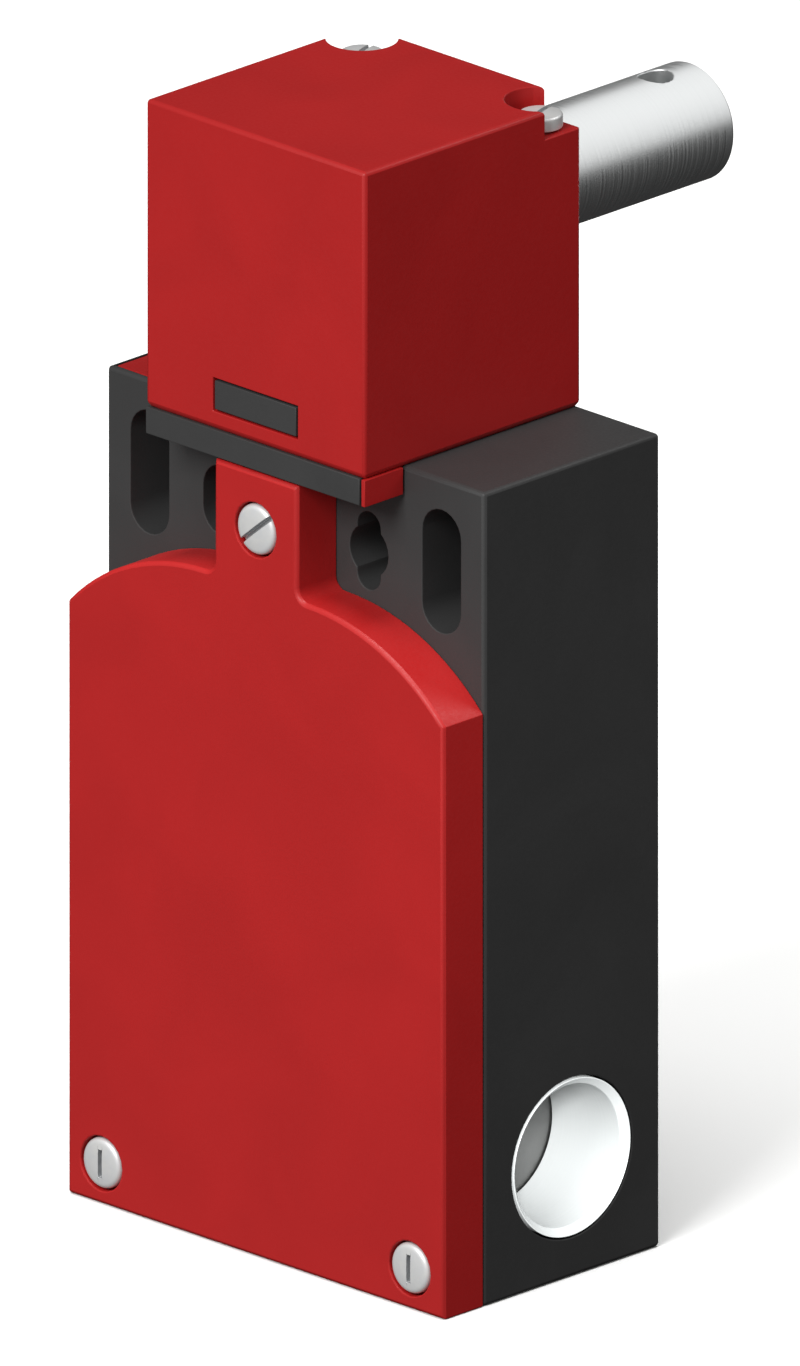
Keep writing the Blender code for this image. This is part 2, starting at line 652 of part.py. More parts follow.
def make_seat_plate(finish):
    """Flat plate let into the housing's top, with a cheek that closes the lip's right-hand end."""
    top = HOUSING_HEIGHT
    plate = prism("head_seat_plate", plate_outline(0.0), "z", top - PLATE_THICKNESS, top, finish)
    cheek_left = HEAD_HALF - PLATE_CHEEK
    cheek_back = FRONT_Y - SEAT_GAP
    join(plate,
         box("cheek", (cheek_left, FACE_Y, LIP_BOTTOM), (HEAD_HALF, cheek_back, top)),
         box("neck", (cheek_left - PLATE_NECK, FACE_Y + PLATE_RIM + SEAT_GAP, top - PLATE_THICKNESS),
             (cheek_left + PLATE_CHEEK / 2, cheek_back - PLATE_NECK_STEP, top)))
    low = top - PLATE_THICKNESS - OVERRUN
    high = top + OVERRUN
    half = HOOK_WIDTH / 2 + SEAT_GAP
    stem_back = HOOK_FRONT + HOOK_THICKNESS
    cut(plate,
        box("hook_way", (-half, HOOK_FRONT - SEAT_GAP, low), (half, stem_back + SEAT_GAP, high)),
        rod("plunger_way", "z", (0.0, PLUNGER_Y), PLUNGER_RADIUS + PLATE_PLUNGER_GAP, low, high, COARSE))
    for x in (-HEAD_SCREW_X, HEAD_SCREW_X):
        cut(plate, rod("screw_way", "z", (x, HEAD_SCREW_Y), HEAD_SCREW_SHANK_RADIUS + SEAT_GAP, low, high))
    return plate


def make_cover(finish):
    """Moulded cover: a hollow plate with a rib that enters the housing, and three screw wells."""
    back = FRONT_Y - SEAT_GAP
    inside = FACE_Y + COVER_SKIN
    rib_end = FRONT_Y + COVER_RIB_LENGTH
    cover = prism("cover", cover_outline(), "y", FACE_Y, back, finish, round_low=EDGE_ROUND)
    join(cover, prism("rib", cavity_outline(-SEAT_GAP), "y", back - OVERLAP, rib_end))
    cut(cover, prism("pocket", cavity_outline(-SEAT_GAP - COVER_RIB_WIDTH), "y", inside, rib_end + OVERRUN))
    low = CAVITY_FLOOR + COVER_STIFFENER_END_GAP
    high = CAVITY_TOP - COVER_STIFFENER_END_GAP
    for x in (-CAVITY_HALF / 3, CAVITY_HALF / 3):
        join(cover, box("stiffener", (x - COVER_STIFFENER / 2, inside - OVERLAP, low),
                        (x + COVER_STIFFENER / 2, back, high)))
    cut(cover, rod("entry_boss_way", "x", (0.0, ENTRY_HEIGHT), ENTRY_BOSS_RADIUS + SEAT_GAP,
                   ENTRY_DISC_BACK - SEAT_GAP - ENTRY_SHOULDER - SEAT_GAP, HALF_WIDTH, MEDIUM))
    well_floor = FACE_Y - SCREW_PROUD + SCREW_HEAD_HEIGHT + SEAT_GAP
    for centre in cover_screw_places():
        cut(cover, stepped("screw_way", "y", centre, FACE_Y - OVERRUN, [
            (SCREW_HEAD_RADIUS + SEAT_GAP, well_floor), (SCREW_SHANK_RADIUS + SEAT_GAP, FRONT_Y + OVERRUN),
        ], COARSE))
    return cover


def make_gasket(finish):
    """Flat ring that follows the opening, between its seat and the cover."""
    back = FRONT_Y + GASKET_HEIGHT
    gasket = prism("cover_gasket", cavity_outline(GASKET_WIDTH + GASKET_SIDE_GAP), "y", FRONT_Y, back, finish)
    cut(gasket, prism("inside", cavity_outline(GASKET_SIDE_GAP), "y", FRONT_Y - OVERRUN, back + OVERRUN))
    return gasket


def slotted_screw(name, axis, centre, head, shank, face, inward, end, finish, sides=COARSE):
    """A cheese-head screw: head is (radius, height, edge round) and shank is its radius.

    face is where the head's top lies, inward is +1 or -1 along the axis, and end is the shank's tip.
    """
    radius, height, edge = head
    under = face + inward * height
    shoulder = edge * (1.0 - math.sqrt(0.5))
    profile = [
        (0.0, face), (radius - edge, face), (radius - shoulder, face + inward * shoulder),
        (radius, face + inward * edge), (radius, under), (shank, under), (shank, end - inward * shank / 2),
        (shank / 2, end), (0.0, end),
    ]
    return turned(name, profile, axis, centre, sides, finish)


def slot_cutter(axis, centre, face, inward, size, turn):
    """The bar that cuts a screwdriver slot of (width, length, depth), turned about the screw's axis."""
    width, length, depth = size
    ends = sorted((face - inward * OVERRUN, face + inward * depth))
    low = place(axis, ends[0], centre[0] - width / 2, centre[1] - length / 2)
    high = place(axis, ends[1], centre[0] + width / 2, centre[1] + length / 2)
    cutter = box("slot", low, high)
    turn_about(cutter, place(axis, face, *centre), axis.upper(), turn)
    return cutter


def make_cover_screws(finish):
    """Three slotted screws: the tab's has a slot across its head, the lower two have a short one."""
    face = FACE_Y - SCREW_PROUD
    head = (SCREW_HEAD_RADIUS, SCREW_HEAD_HEIGHT, SCREW_HEAD_ROUND)
    plans = [
        ("cover_screw_top", SCREW_GRIP_TOP, 3 * SCREW_HEAD_RADIUS, TAB_SCREW_TURN),
        ("cover_screw_left", SCREW_GRIP_BOTTOM, SCREW_SLOT_SHORT, 0.0),
        ("cover_screw_right", SCREW_GRIP_BOTTOM, SCREW_SLOT_SHORT, 0.0),
    ]
    screws = []
    for (name, grip, length, turn), centre in zip(plans, cover_screw_places()):
        screw = slotted_screw(name, "y", centre, head, SCREW_SHANK_RADIUS, face, 1, FRONT_Y + grip, finish)
        cut(screw, slot_cutter("y", centre, face, 1, (SCREW_SLOT_WIDTH, length, SCREW_SLOT_DEPTH), turn))
        screws.append(screw)
    return screws


def make_entry(bush_finish, disc_finish):
    """The metal bush of the cable entry, chamfered at its mouth, and the disc that closes it."""
    centre = (0.0, ENTRY_HEIGHT)
    inner_end = ENTRY_DISC_FACE + SEAT_GAP
    bush = turned("entry_bush", [
        (ENTRY_BUSH_RADIUS, inner_end), (ENTRY_BUSH_RADIUS, HALF_WIDTH), (ENTRY_MOUTH_RADIUS, HALF_WIDTH),
        (ENTRY_BORE_RADIUS, HALF_WIDTH - ENTRY_CHAMFER), (ENTRY_BORE_RADIUS, inner_end),
    ], "x", centre, FINE, bush_finish, ring=True)
    disc = rod("entry_disc", "x", centre, ENTRY_BUSH_RADIUS, ENTRY_DISC_BACK, ENTRY_DISC_FACE, FINE, disc_finish)
    return [bush, disc]


def make_head(finish):
    """Moulded head: open below, with the shaft's bores, the hook's window and two cut-down rear corners."""
    head = box("head_housing", (-HEAD_HALF, FACE_Y, HEAD_BOTTOM), (HEAD_HALF, BACK_Y, HEAD_TOP),
               EDGE_ROUND, finish)
    inside = HEAD_HALF - HEAD_SIDE_WALL
    room = round_corners(rectangle(-inside, inside, HEAD_INSIDE_FRONT, HEAD_INSIDE_REAR), HEAD_ROOM_CORNER)
    axis = (0.0, AXIS_Z)
    window_half = HOOK_WIDTH / 2 + SEAT_GAP
    cut(head,
        prism("room", room, "z", HEAD_BOTTOM - OVERRUN, HEAD_INSIDE_TOP),
        rod("rear_bore", "y", axis, REAR_BUSH_RADIUS + SEAT_GAP, HEAD_INSIDE_REAR - OVERRUN,
            BACK_Y + OVERRUN, FINE),
        rod("front_bore", "y", axis, FRONT_BUSH_RADIUS + SEAT_GAP, FRONT_BORE_END,
            HEAD_INSIDE_FRONT + OVERRUN, COARSE),
        box("window", (-window_half, FACE_Y - OVERRUN, WINDOW_LOW),
            (window_half, HEAD_INSIDE_FRONT + OVERRUN, WINDOW_HIGH)))
    for side in (-1, 1):
        x = side * HEAD_SCREW_X
        x_out = side * (HEAD_HALF + OVERRUN)
        well = stepped("well", "z", (x, HEAD_SCREW_Y), HEAD_BOTTOM - OVERRUN, [
            (HEAD_SCREW_SHANK_RADIUS + SEAT_GAP, HEAD_WELL_FLOOR), (HEAD_SCREW_WELL_RADIUS, HEAD_TOP + OVERRUN),
        ], MEDIUM)
        join(well, box("corner", (min(x, x_out), HEAD_SCREW_Y, HEAD_WELL_FLOOR),
                       (max(x, x_out), BACK_Y + OVERRUN, HEAD_TOP + OVERRUN)))
        cut(head, well)
    return head


def make_head_screws(finish):
    """Two long slotted screws down through the head's rear corners into the housing."""
    face = HEAD_WELL_FLOOR + SEAT_GAP + HEAD_SCREW_HEAD_HEIGHT
    head = (HEAD_SCREW_HEAD_RADIUS, HEAD_SCREW_HEAD_HEIGHT, HEAD_SCREW_HEAD_ROUND)
    slot = (SCREW_SLOT_WIDTH, 3 * HEAD_SCREW_HEAD_RADIUS, HEAD_SCREW_SLOT_DEPTH)
    screws = []
    for name, x in (("head_screw_left", -HEAD_SCREW_X), ("head_screw_right", HEAD_SCREW_X)):
        centre = (x, HEAD_SCREW_Y)
        screw = slotted_screw(name, "z", centre, head, HEAD_SCREW_SHANK_RADIUS, face, -1,
                              HOUSING_HEIGHT - HEAD_SCREW_GRIP, finish)
        cut(screw, slot_cutter("z", centre, face, -1, slot, HEAD_SCREW_TURN))
        screws.append(screw)
    return screws


def make_shaft(finish):
    """Stepped shaft: front journal, cam seat, and the solid end that the guard's hinge grips."""
    start = FRONT_BORE_END + RUNNING_GAP
    journal_end = CAM_FRONT - SHAFT_SEAT_REACH
    step = CAM_BACK + SHAFT_STEP_GAP
    end = BACK_Y + SHAFT_REACH
    shaft = turned("shaft", [
        (0.0, start), (SHAFT_JOURNAL_RADIUS - SHAFT_JOURNAL_CHAMFER, start),
        (SHAFT_JOURNAL_RADIUS, start + SHAFT_JOURNAL_CHAMFER), (SHAFT_JOURNAL_RADIUS, journal_end),
        (SHAFT_SEAT_RADIUS, journal_end), (SHAFT_SEAT_RADIUS, step), (SHAFT_RADIUS, step),
        (SHAFT_RADIUS, end - SHAFT_CHAMFER), (SHAFT_RADIUS - SHAFT_CHAMFER, end), (0.0, end),
    ], "y", (0.0, AXIS_Z), FINE, finish)
    reach = SHAFT_RADIUS + OVERRUN
    cut(shaft,
        rod("cross_hole", "z", (0.0, BACK_Y + SHAFT_HOLE_FROM_HEAD), SHAFT_HOLE_RADIUS, AXIS_Z - reach,
            AXIS_Z + reach, COARSE),
        rod("pin_hole", "x", (PLUNGER_Y, AXIS_Z), CAM_PIN_RADIUS + SEAT_GAP, -reach, reach))
    return shaft


def make_cam(finish):
    """Disc cam with a flared notch at its lowest point and a hole for the pin."""
    bore = SHAFT_SEAT_RADIUS + SEAT_GAP
    cam = tube("cam", "y", (0.0, AXIS_Z), CAM_RADIUS, bore, CAM_FRONT, CAM_BACK, FINE, finish)
    floor = AXIS_Z - CAM_RADIUS + CAM_NOTCH_DEPTH
    low = AXIS_Z - CAM_RADIUS - OVERRUN
    floor_half = CAM_NOTCH_FLOOR / 2
    flare = (CAM_NOTCH_MOUTH / 2 - floor_half) / CAM_NOTCH_DEPTH
    mouth_half = floor_half + flare * (floor - low)
    notch = [(-floor_half, floor), (-mouth_half, low), (mouth_half, low), (floor_half, floor)]
    reach = CAM_RADIUS + OVERRUN
    cut(cam,
        prism("notch", notch, "y", CAM_FRONT - OVERRUN, CAM_BACK + OVERRUN),
        rod("pin_hole", "x", (PLUNGER_Y, AXIS_Z), CAM_PIN_RADIUS + SEAT_GAP, -reach, reach))
    return cam


def make_cam_pin(finish):
    """Cross pin that ties the cam to the shaft."""
    reach = CAM_RADIUS - CAM_PIN_INSET
    return rod("cam_pin", "x", (PLUNGER_Y, AXIS_Z), CAM_PIN_RADIUS, -reach, reach, SMALL, finish)


def make_rear_bearing(metal, rubber, steel):
    """Rear bush, the lip seal behind it and the thrust washer between it and the cam."""
    axis = (0.0, AXIS_Z)
    bore = SHAFT_RADIUS + RUNNING_GAP
    bush_end = HEAD_INSIDE_REAR + REAR_BUSH_LENGTH
    bush = tube("rear_bush", "y", axis, REAR_BUSH_RADIUS, bore, HEAD_INSIDE_REAR, bush_end, FINE, metal)
    low = bush_end + SEAT_GAP
    high = low + SEAL_LENGTH
    lip = SHAFT_RADIUS + SEAL_LIP
    seal = turned("shaft_seal", [
        (REAR_BUSH_RADIUS, low), (REAR_BUSH_RADIUS, high), (lip + SEAL_SCRAPER, high),
        (lip, high - SEAL_SCRAPER), (bore, high - SEAL_SCRAPER / 2), (bore, low + SEAL_SCRAPER / 2), (lip, low),
    ], "y", axis, MEDIUM, rubber, ring=True)
    washer_low = CAM_BACK + WASHER_GAP
    washer = tube("thrust_washer", "y", axis, bore + WASHER_WIDTH, bore, washer_low,
                  washer_low + WASHER_THICKNESS, MEDIUM, steel)
    return [bush, seal, washer]


def make_front_bush(finish):
    """Flanged bush in the head's front wall."""
    bore = SHAFT_JOURNAL_RADIUS + RUNNING_GAP
    flange = FRONT_BUSH_RADIUS + FRONT_FLANGE_RIM
    flange_low = HEAD_INSIDE_FRONT + SEAT_GAP
    flange_high = flange_low + FRONT_FLANGE_THICKNESS
    sleeve_low = FRONT_BORE_END + SEAT_GAP
    return turned("front_bush", [
        (FRONT_BUSH_RADIUS, sleeve_low), (FRONT_BUSH_RADIUS, flange_low), (flange, flange_low),
        (flange, flange_high), (bore, flange_high), (bore, sleeve_low),
    ], "y", (0.0, AXIS_Z), MEDIUM, finish, ring=True)


def make_plunger(finish):
    """Round pin with a domed tip under the cam and a collar that stops it under its guide."""
    r = PLUNGER_RADIUS
    foot = CARRIER_TOP + SEAT_GAP
    dome = arc((0.0, PLUNGER_TIP - r), r, math.pi / 2, 0.0, DOME_STEPS)[1:]
    profile = [(0.0, PLUNGER_TIP)] + dome + [
        (r, COLLAR_TOP), (COLLAR_RADIUS, COLLAR_TOP), (COLLAR_RADIUS, COLLAR_TOP - COLLAR_HEIGHT),
        (r, COLLAR_TOP - COLLAR_HEIGHT), (r, foot), (0.0, foot),
    ]
    return turned("plunger", profile, "z", (0.0, PLUNGER_Y), COARSE, finish)


def make_plunger_guide(finish):
    """Flanged brass bush that the plunger slides in."""
    bore = PLUNGER_RADIUS + RUNNING_GAP
    return turned("plunger_guide", [
        (GUIDE_RADIUS, GUIDE_BOTTOM), (GUIDE_RADIUS, GUIDE_FLANGE_LOW), (GUIDE_FLANGE_RADIUS, GUIDE_FLANGE_LOW),
        (GUIDE_FLANGE_RADIUS, GUIDE_TOP), (bore, GUIDE_TOP), (bore, GUIDE_BOTTOM),
    ], "z", (0.0, PLUNGER_Y), COARSE, finish, ring=True)


def make_plunger_seal(finish):
    """Rubber boot round the plunger, seated on the plate, with its foot cut flat along the head's rear wall."""
    r = PLUNGER_RADIUS
    bore = r + RUNNING_GAP
    low = HOUSING_HEIGHT + SEAT_GAP
    foot = low + BOOT_FOOT_HEIGHT
    high = low + BOOT_HEIGHT
    seal = turned("plunger_seal", [
        (r + BOOT_FOOT_RIM, low), (r + BOOT_FOOT_RIM, foot), (r + BOOT_WALL_LOW, (2 * foot + high) / 3),
        (r + BOOT_WALL_MIDDLE, (foot + 2 * high) / 3), (r + BOOT_WALL_TOP, high), (bore, high), (bore, low),
    ], "z", (0.0, PLUNGER_Y), COARSE, finish, ring=True)
    cut(seal, box("rear_wall", (-HEAD_HALF, HEAD_INSIDE_REAR - SEAT_GAP, low - OVERRUN),
                  (HEAD_HALF, BACK_Y, high + OVERRUN)))
    return seal


def make_contact_base(finish):
    """Moulded base: a channel for the carrier, a pocket for each terminal, and two ears for its screws."""
    base = box("contact_base", (-BLOCK_HALF, BLOCK_FRONT, BLOCK_BOTTOM), (BLOCK_HALF, BLOCK_BACK, BLOCK_TOP),
               0.0, finish)
    for side, (_, x, z) in zip((-1, 1), block_screw_places()):
        x_in = side * (BLOCK_HALF - OVERLAP)
        x_out = side * (BLOCK_HALF + BLOCK_EAR_WIDTH)
        join(base, box("ear", (min(x_in, x_out), BLOCK_EAR_FRONT, z - BLOCK_EAR_HEIGHT / 2),
                       (max(x_in, x_out), BLOCK_EAR_BACK, z + BLOCK_EAR_HEIGHT / 2)))
        cut(base, rod("way", "y", (x, z), SCREW_SHANK_RADIUS + SEAT_GAP, BLOCK_EAR_FRONT - OVERRUN,
                      BLOCK_EAR_BACK + OVERRUN))
    cut(base, box("channel", (-CHANNEL_HALF, CHANNEL_FRONT, CHANNEL_FLOOR),
                  (CHANNEL_HALF, CHANNEL_BACK, BLOCK_TOP + OVERRUN)))
    for z in POCKET_CENTRES:
        for side in (-1, 1):
            near = side * (CHANNEL_HALF - OVERLAP)
            far = side * POCKET_REACH
            cut(base, box("pocket", (min(near, far), BLOCK_FRONT - OVERRUN, z - POCKET_HEIGHT / 2),
                          (max(near, far), CHANNEL_BACK - POCKET_BACK_GAP, z + POCKET_HEIGHT / 2)))
    return base


def make_carrier(finish):
    """Slide that carries the bridges: a window for each, a stem for the plunger, a pocket for the spring."""
    half = CHANNEL_HALF - RUNNING_GAP
    front = CHANNEL_FRONT + RUNNING_GAP
    back = CHANNEL_BACK - RUNNING_GAP
    top = BLOCK_TOP - CARRIER_TOP_DROP
    carrier = box("contact_carrier", (-half, front, CARRIER_BOTTOM), (half, back, top), 0.0, finish)
    join(carrier, rod("stem", "z", (0.0, PLUNGER_Y), CARRIER_STEM_RADIUS, top - OVERLAP, CARRIER_TOP, COARSE))
    window_half = BRIDGE_THICKNESS / 2 + SEAT_GAP
    depth = BRIDGE_DEPTH / 2 + SEAT_GAP
    for level in range(LEVELS):
        z = bridge_height(level)
        cut(carrier, box("window", (-half - OVERRUN, PLUNGER_Y - depth, z - window_half),
                         (half + OVERRUN, PLUNGER_Y + depth, z + window_half)))
    cut(carrier, rod("spring_pocket", "z", (0.0, PLUNGER_Y), SPRING_RADIUS + SPRING_WIRE + SPRING_SIDE_GAP,
                     CARRIER_BOTTOM - OVERRUN, SPRING_POCKET_TOP, COARSE))
    return carrier


def contact(x, face, facing):
    """A round contact that stands on a face, up where facing is +1 and down where it is -1."""
    ends = sorted((face - facing * OVERLAP, face + facing * CONTACT_HEIGHT))
    return rod("contact", "z", (x, PLUNGER_Y), CONTACT_RADIUS, ends[0], ends[1])


def make_bridges(finish):
    """Contact bridges with a contact at each end, on top on opening levels, below on the closing one."""
    bridges = []
    depth = BRIDGE_DEPTH / 2
    for level in range(LEVELS):
        z = bridge_height(level)
        facing = -1 if level == CLOSING_LEVEL else 1
        half = BRIDGE_THICKNESS / 2
        bridge = box("contact_bridge_" + str(level + 1), (-BRIDGE_REACH, PLUNGER_Y - depth, z - half),
                     (BRIDGE_REACH, PLUNGER_Y + depth, z + half), 0.0, finish)
        for x in (-CONTACT_X, CONTACT_X):
            join(bridge, contact(x, z + facing * half, facing))
        bridges.append(bridge)
    return bridges


def make_terminals(sheet_finish, screw_finish):
    """Bent terminals with their fixed contacts, and the clamp screws in them."""
    made = []
    screw_face = TERMINAL_FACE - SEAT_GAP - TERMINAL_SCREW_HEAD
    screw_head = (TERMINAL_SCREW_RADIUS, TERMINAL_SCREW_HEAD, TERMINAL_SCREW_ROUND)
    slot = (TERMINAL_SLOT_SIZE, 3 * TERMINAL_SCREW_RADIUS, TERMINAL_SLOT_SIZE)
    strip_back = PLUNGER_Y + BRIDGE_DEPTH / 2
    sheet_back = TERMINAL_FACE + TERMINAL_SHEET
    for level in range(LEVELS):
        closing = level == CLOSING_LEVEL
        facing = -1 if closing else 1
        travel = PLUNGER_STROKE if closing else 0.0
        near = bridge_height(level) + facing * (BRIDGE_THICKNESS / 2 + 2 * CONTACT_HEIGHT + SEAT_GAP + travel)
        far = near + facing * TERMINAL_SHEET
        end = POCKET_CENTRES[level] - facing * (POCKET_HEIGHT / 2 - SEAT_GAP)
        profile = [
            (TERMINAL_FACE, end), (sheet_back, end), (sheet_back, near), (strip_back, near), (strip_back, far),
            (TERMINAL_FACE, far),
        ]
        screw_z = (end + far) / 2 - facing * TERMINAL_SCREW_DROP
        for side, name in ((-1, "left"), (1, "right")):
            x = side * TERMINAL_CENTRE
            label = name + "_" + str(level + 1)
            terminal = prism("terminal_" + label, profile, "x", x - TERMINAL_WIDTH / 2, x + TERMINAL_WIDTH / 2,
                             sheet_finish)
            join(terminal, contact(side * CONTACT_X, near, -facing))
            cut(terminal, rod("thread", "y", (x, screw_z), TERMINAL_SHANK_RADIUS + SEAT_GAP,
                              TERMINAL_FACE - OVERRUN, sheet_back + OVERLAP))
            screw = slotted_screw("terminal_screw_" + label, "y", (x, screw_z), screw_head,
                                  TERMINAL_SHANK_RADIUS, screw_face, 1, TERMINAL_FACE + TERMINAL_SCREW_REACH,
                                  screw_finish, SMALL)
            cut(screw, slot_cutter("y", (x, screw_z), screw_face, 1, slot, math.radians(90.0)))
            made += [terminal, screw]
    return made


def make_block_screws(finish):
    """Two screws through the block's ears into the housing's bosses."""
    face = BLOCK_EAR_FRONT - SEAT_GAP - BLOCK_SCREW_HEAD_HEIGHT
    head = (BLOCK_SCREW_HEAD_RADIUS, BLOCK_SCREW_HEAD_HEIGHT, BLOCK_SCREW_HEAD_ROUND)
    slot = (SCREW_SLOT_WIDTH, 3 * BLOCK_SCREW_HEAD_RADIUS, SCREW_SLOT_DEPTH)
    tip = CAVITY_BACK + BLOCK_THREAD_DEPTH - SEAT_GAP
    screws = []
    for side, x, z in block_screw_places():
        screw = slotted_screw("block_screw_" + side, "y", (x, z), head, SCREW_SHANK_RADIUS, face, 1, tip, finish)
        cut(screw, slot_cutter("y", (x, z), face, 1, slot, BLOCK_SCREW_TURN))
        screws.append(screw)
    return screws


def make_return_spring(finish):
    """Compression spring between the channel's floor and the carrier's pocket."""
    low = CHANNEL_FLOOR + SPRING_WIRE + SEAT_GAP
    high = SPRING_POCKET_TOP - SPRING_WIRE - SEAT_GAP
    steps = SPRING_TURNS * SPRING_TURN_POINTS
    curve = bpy.data.curves.new("return_spring", "CURVE")
    curve.dimensions = "3D"
    curve.bevel_depth = SPRING_WIRE
    curve.bevel_resolution = 1
    curve.use_fill_caps = True
    spline = curve.splines.new("POLY")
    spline.points.add(steps)
    for k in range(steps + 1):
        angle = 2 * math.pi * SPRING_TURNS * k / steps
        x = SPRING_RADIUS * math.cos(angle)
        y = PLUNGER_Y + SPRING_RADIUS * math.sin(angle)
        spline.points[k].co = (x, y, low + (high - low) * k / steps, 1.0)
    curve.materials.append(finish)
    spring = bpy.data.objects.new("return_spring", curve)
    bpy.context.scene.collection.objects.link(spring)
    return spring


def carry(name, axis_point, pieces):
    """An empty on a joint's axis that carries the pieces which move with it."""
    empty = bpy.data.objects.new(name, None)
    empty.location = axis_point
    bpy.context.scene.collection.objects.link(empty)
    bpy.context.view_layer.update()
    for piece in pieces:
        set_origin(piece, axis_point)
        piece.parent = empty
        piece.matrix_parent_inverse = empty.matrix_world.inverted()


def shade(obj):
    """Smooth shading on round faces, with sharp edges kept."""
    if obj.type == "MESH":
        obj.data.shade_smooth()
        obj.data.set_sharp_from_angle(angle=math.radians(35.0))


def build():
    """Makes every piece of the switch."""
    for obj in list(bpy.data.objects):
        bpy.data.objects.remove(obj)

    red = material("red_moulding", (0.69, 0.153, 0.153), 0.45)
    black = material("black_moulding", (0.251, 0.251, 0.251), 0.5)
    steel = material("turned_steel", (0.80, 0.82, 0.82), 0.3, 1.0)
    zinc = material("zinc_plated_steel", (0.78, 0.78, 0.76), 0.35, 1.0)
    nickel = material("nickel_plated_brass", (0.85, 0.85, 0.84), 0.25, 1.0)
    brass = material("brass", (0.80, 0.65, 0.35), 0.35, 1.0)
    rubber = material("rubber", (0.10, 0.10, 0.10), 0.8)
    grey = material("grey_moulding", (0.53, 0.53, 0.53), 0.6)
    ivory = material("ivory_moulding", (0.80, 0.77, 0.68), 0.55)

    fixed = [
        make_housing(black), make_cover(red), make_gasket(rubber), *make_cover_screws(zinc),
        *make_entry(nickel, grey), make_head(red), make_seat_plate(red), *make_head_screws(zinc),
        *make_rear_bearing(brass, rubber, steel), make_front_bush(brass), make_plunger_guide(brass),
        make_plunger_seal(rubber), make_contact_base(grey), *make_terminals(brass, zinc),
        *make_block_screws(zinc), make_return_spring(steel),
    ]
    turning = [make_shaft(steel), make_cam(steel), make_cam_pin(steel)]
    sliding = [make_plunger(steel), make_carrier(ivory), *make_bridges(brass)]
    for obj in fixed + turning + sliding:
        shade(obj)
    carry("shaft_axis", (0.0, PLUNGER_Y, AXIS_Z), turning)
    carry("plunger_axis", (0.0, PLUNGER_Y, GUIDE_BOTTOM), sliding)


build()
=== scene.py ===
# %% [markdown]
# # A safety hinge switch
#
# The real object has a black moulded housing, a red moulded cover and head, and a turned steel shaft that
# the hinge of a guard turns. The CAD model holds every piece at its true place. This lesson gives those
# pieces their broken edges, their finishes and the studio they are seen in.
#
# The CAD frame is loaded first, so that everything made later can be measured against it.

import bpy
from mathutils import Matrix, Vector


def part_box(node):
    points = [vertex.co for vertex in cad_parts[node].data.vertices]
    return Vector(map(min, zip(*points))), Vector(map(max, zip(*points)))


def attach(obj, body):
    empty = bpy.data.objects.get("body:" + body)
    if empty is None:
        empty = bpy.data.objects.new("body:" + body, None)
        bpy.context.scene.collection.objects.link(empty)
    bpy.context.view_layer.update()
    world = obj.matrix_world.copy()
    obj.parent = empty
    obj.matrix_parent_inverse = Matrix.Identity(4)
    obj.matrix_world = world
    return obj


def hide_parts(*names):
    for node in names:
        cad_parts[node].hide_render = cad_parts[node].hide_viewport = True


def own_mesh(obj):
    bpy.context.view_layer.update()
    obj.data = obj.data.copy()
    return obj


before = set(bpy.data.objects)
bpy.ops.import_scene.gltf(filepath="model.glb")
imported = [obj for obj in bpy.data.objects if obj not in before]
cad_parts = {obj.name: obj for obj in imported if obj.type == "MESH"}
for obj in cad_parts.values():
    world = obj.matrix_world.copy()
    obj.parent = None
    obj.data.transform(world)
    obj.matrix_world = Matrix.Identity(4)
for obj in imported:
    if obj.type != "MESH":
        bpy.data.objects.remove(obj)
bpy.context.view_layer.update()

# %% [markdown]
# Sizes in this lesson are in millimetres, as on a drawing, and Blender works in metres, so every size is
# multiplied by MM. Colours are written as on a colour card, in sRGB, and Blender's shaders want linear
# light, so one function turns them.

# %% Units and colours
import math

import bmesh
import bpy
import numpy as np
from mathutils import Vector

MM = 0.001


def linear(card):
    """Linear RGBA of an sRGB hex colour such as #B01D1D."""
    parts = np.array([int(card[k:k + 2], 16) for k in (1, 3, 5)]) / 255
    dark = parts / 12.92
    light = ((parts + 0.055) / 1.055) ** 2.4
    return (*np.where(parts <= 0.04045, dark, light).tolist(), 1.0)


print("red card in linear light:", [round(c, 3) for c in linear("#B01D1D")])

# %% [markdown]
# A finish is a small network of shader nodes. It could be clicked together by hand, but then nobody could
# read how it was made. One function adds a node, sets it and links it, so a finish reads as a list.

# %% Add a shader node


def add(tree, kind, sockets, **settings):
    """Adds a node. Each socket, by name or number, gets a value or the output that feeds it."""
    made = tree.nodes.new(kind)
    for name, value in settings.items():
        setattr(made, name, value)
    for name, value in sockets.items():
        if isinstance(value, bpy.types.NodeSocket):
            tree.links.new(value, made.inputs[name])
        else:
            made.inputs[name].default_value = value
    return made


def start_finish(name, roughness, metallic=0.0):
    """A material with its tree, its Principled shader and the point's place on the object in metres."""
    made = bpy.data.materials.new(name)
    made.use_nodes = True
    tree = made.node_tree
    shader = tree.nodes["Principled BSDF"]
    shader.inputs["Roughness"].default_value = roughness
    shader.inputs["Metallic"].default_value = metallic
    place = tree.nodes.new("ShaderNodeTexCoord").outputs["Object"]
    return made, tree, shader, place


print("helpers for finishes:", add.__name__, start_finish.__name__)

# %% [markdown]
# ## Moulded plastics
#
# The housing, cover and head are glass-filled nylon, moulded in a steel tool whose walls were spark
# eroded. The eye sees a dull, even sheen, a grain about a third of a millimetre wide, and very faint
# clouds where the melt flowed. A photograph of the grain would stretch and repeat, so two noises make it:
# a fine one for the grain and a slow one for the clouds. The pits of the grain shade each other, which
# takes away much of the mirror-like part of the light, so the specular level is lower than usual.
#
# A noise stays mostly between 0.3 and 0.7, so a Map Range stretches that span to the values wanted, and a
# narrower one makes the clouds stronger. A Mix node has sockets for several kinds of value, told apart by
# number only, so the numbers get names.

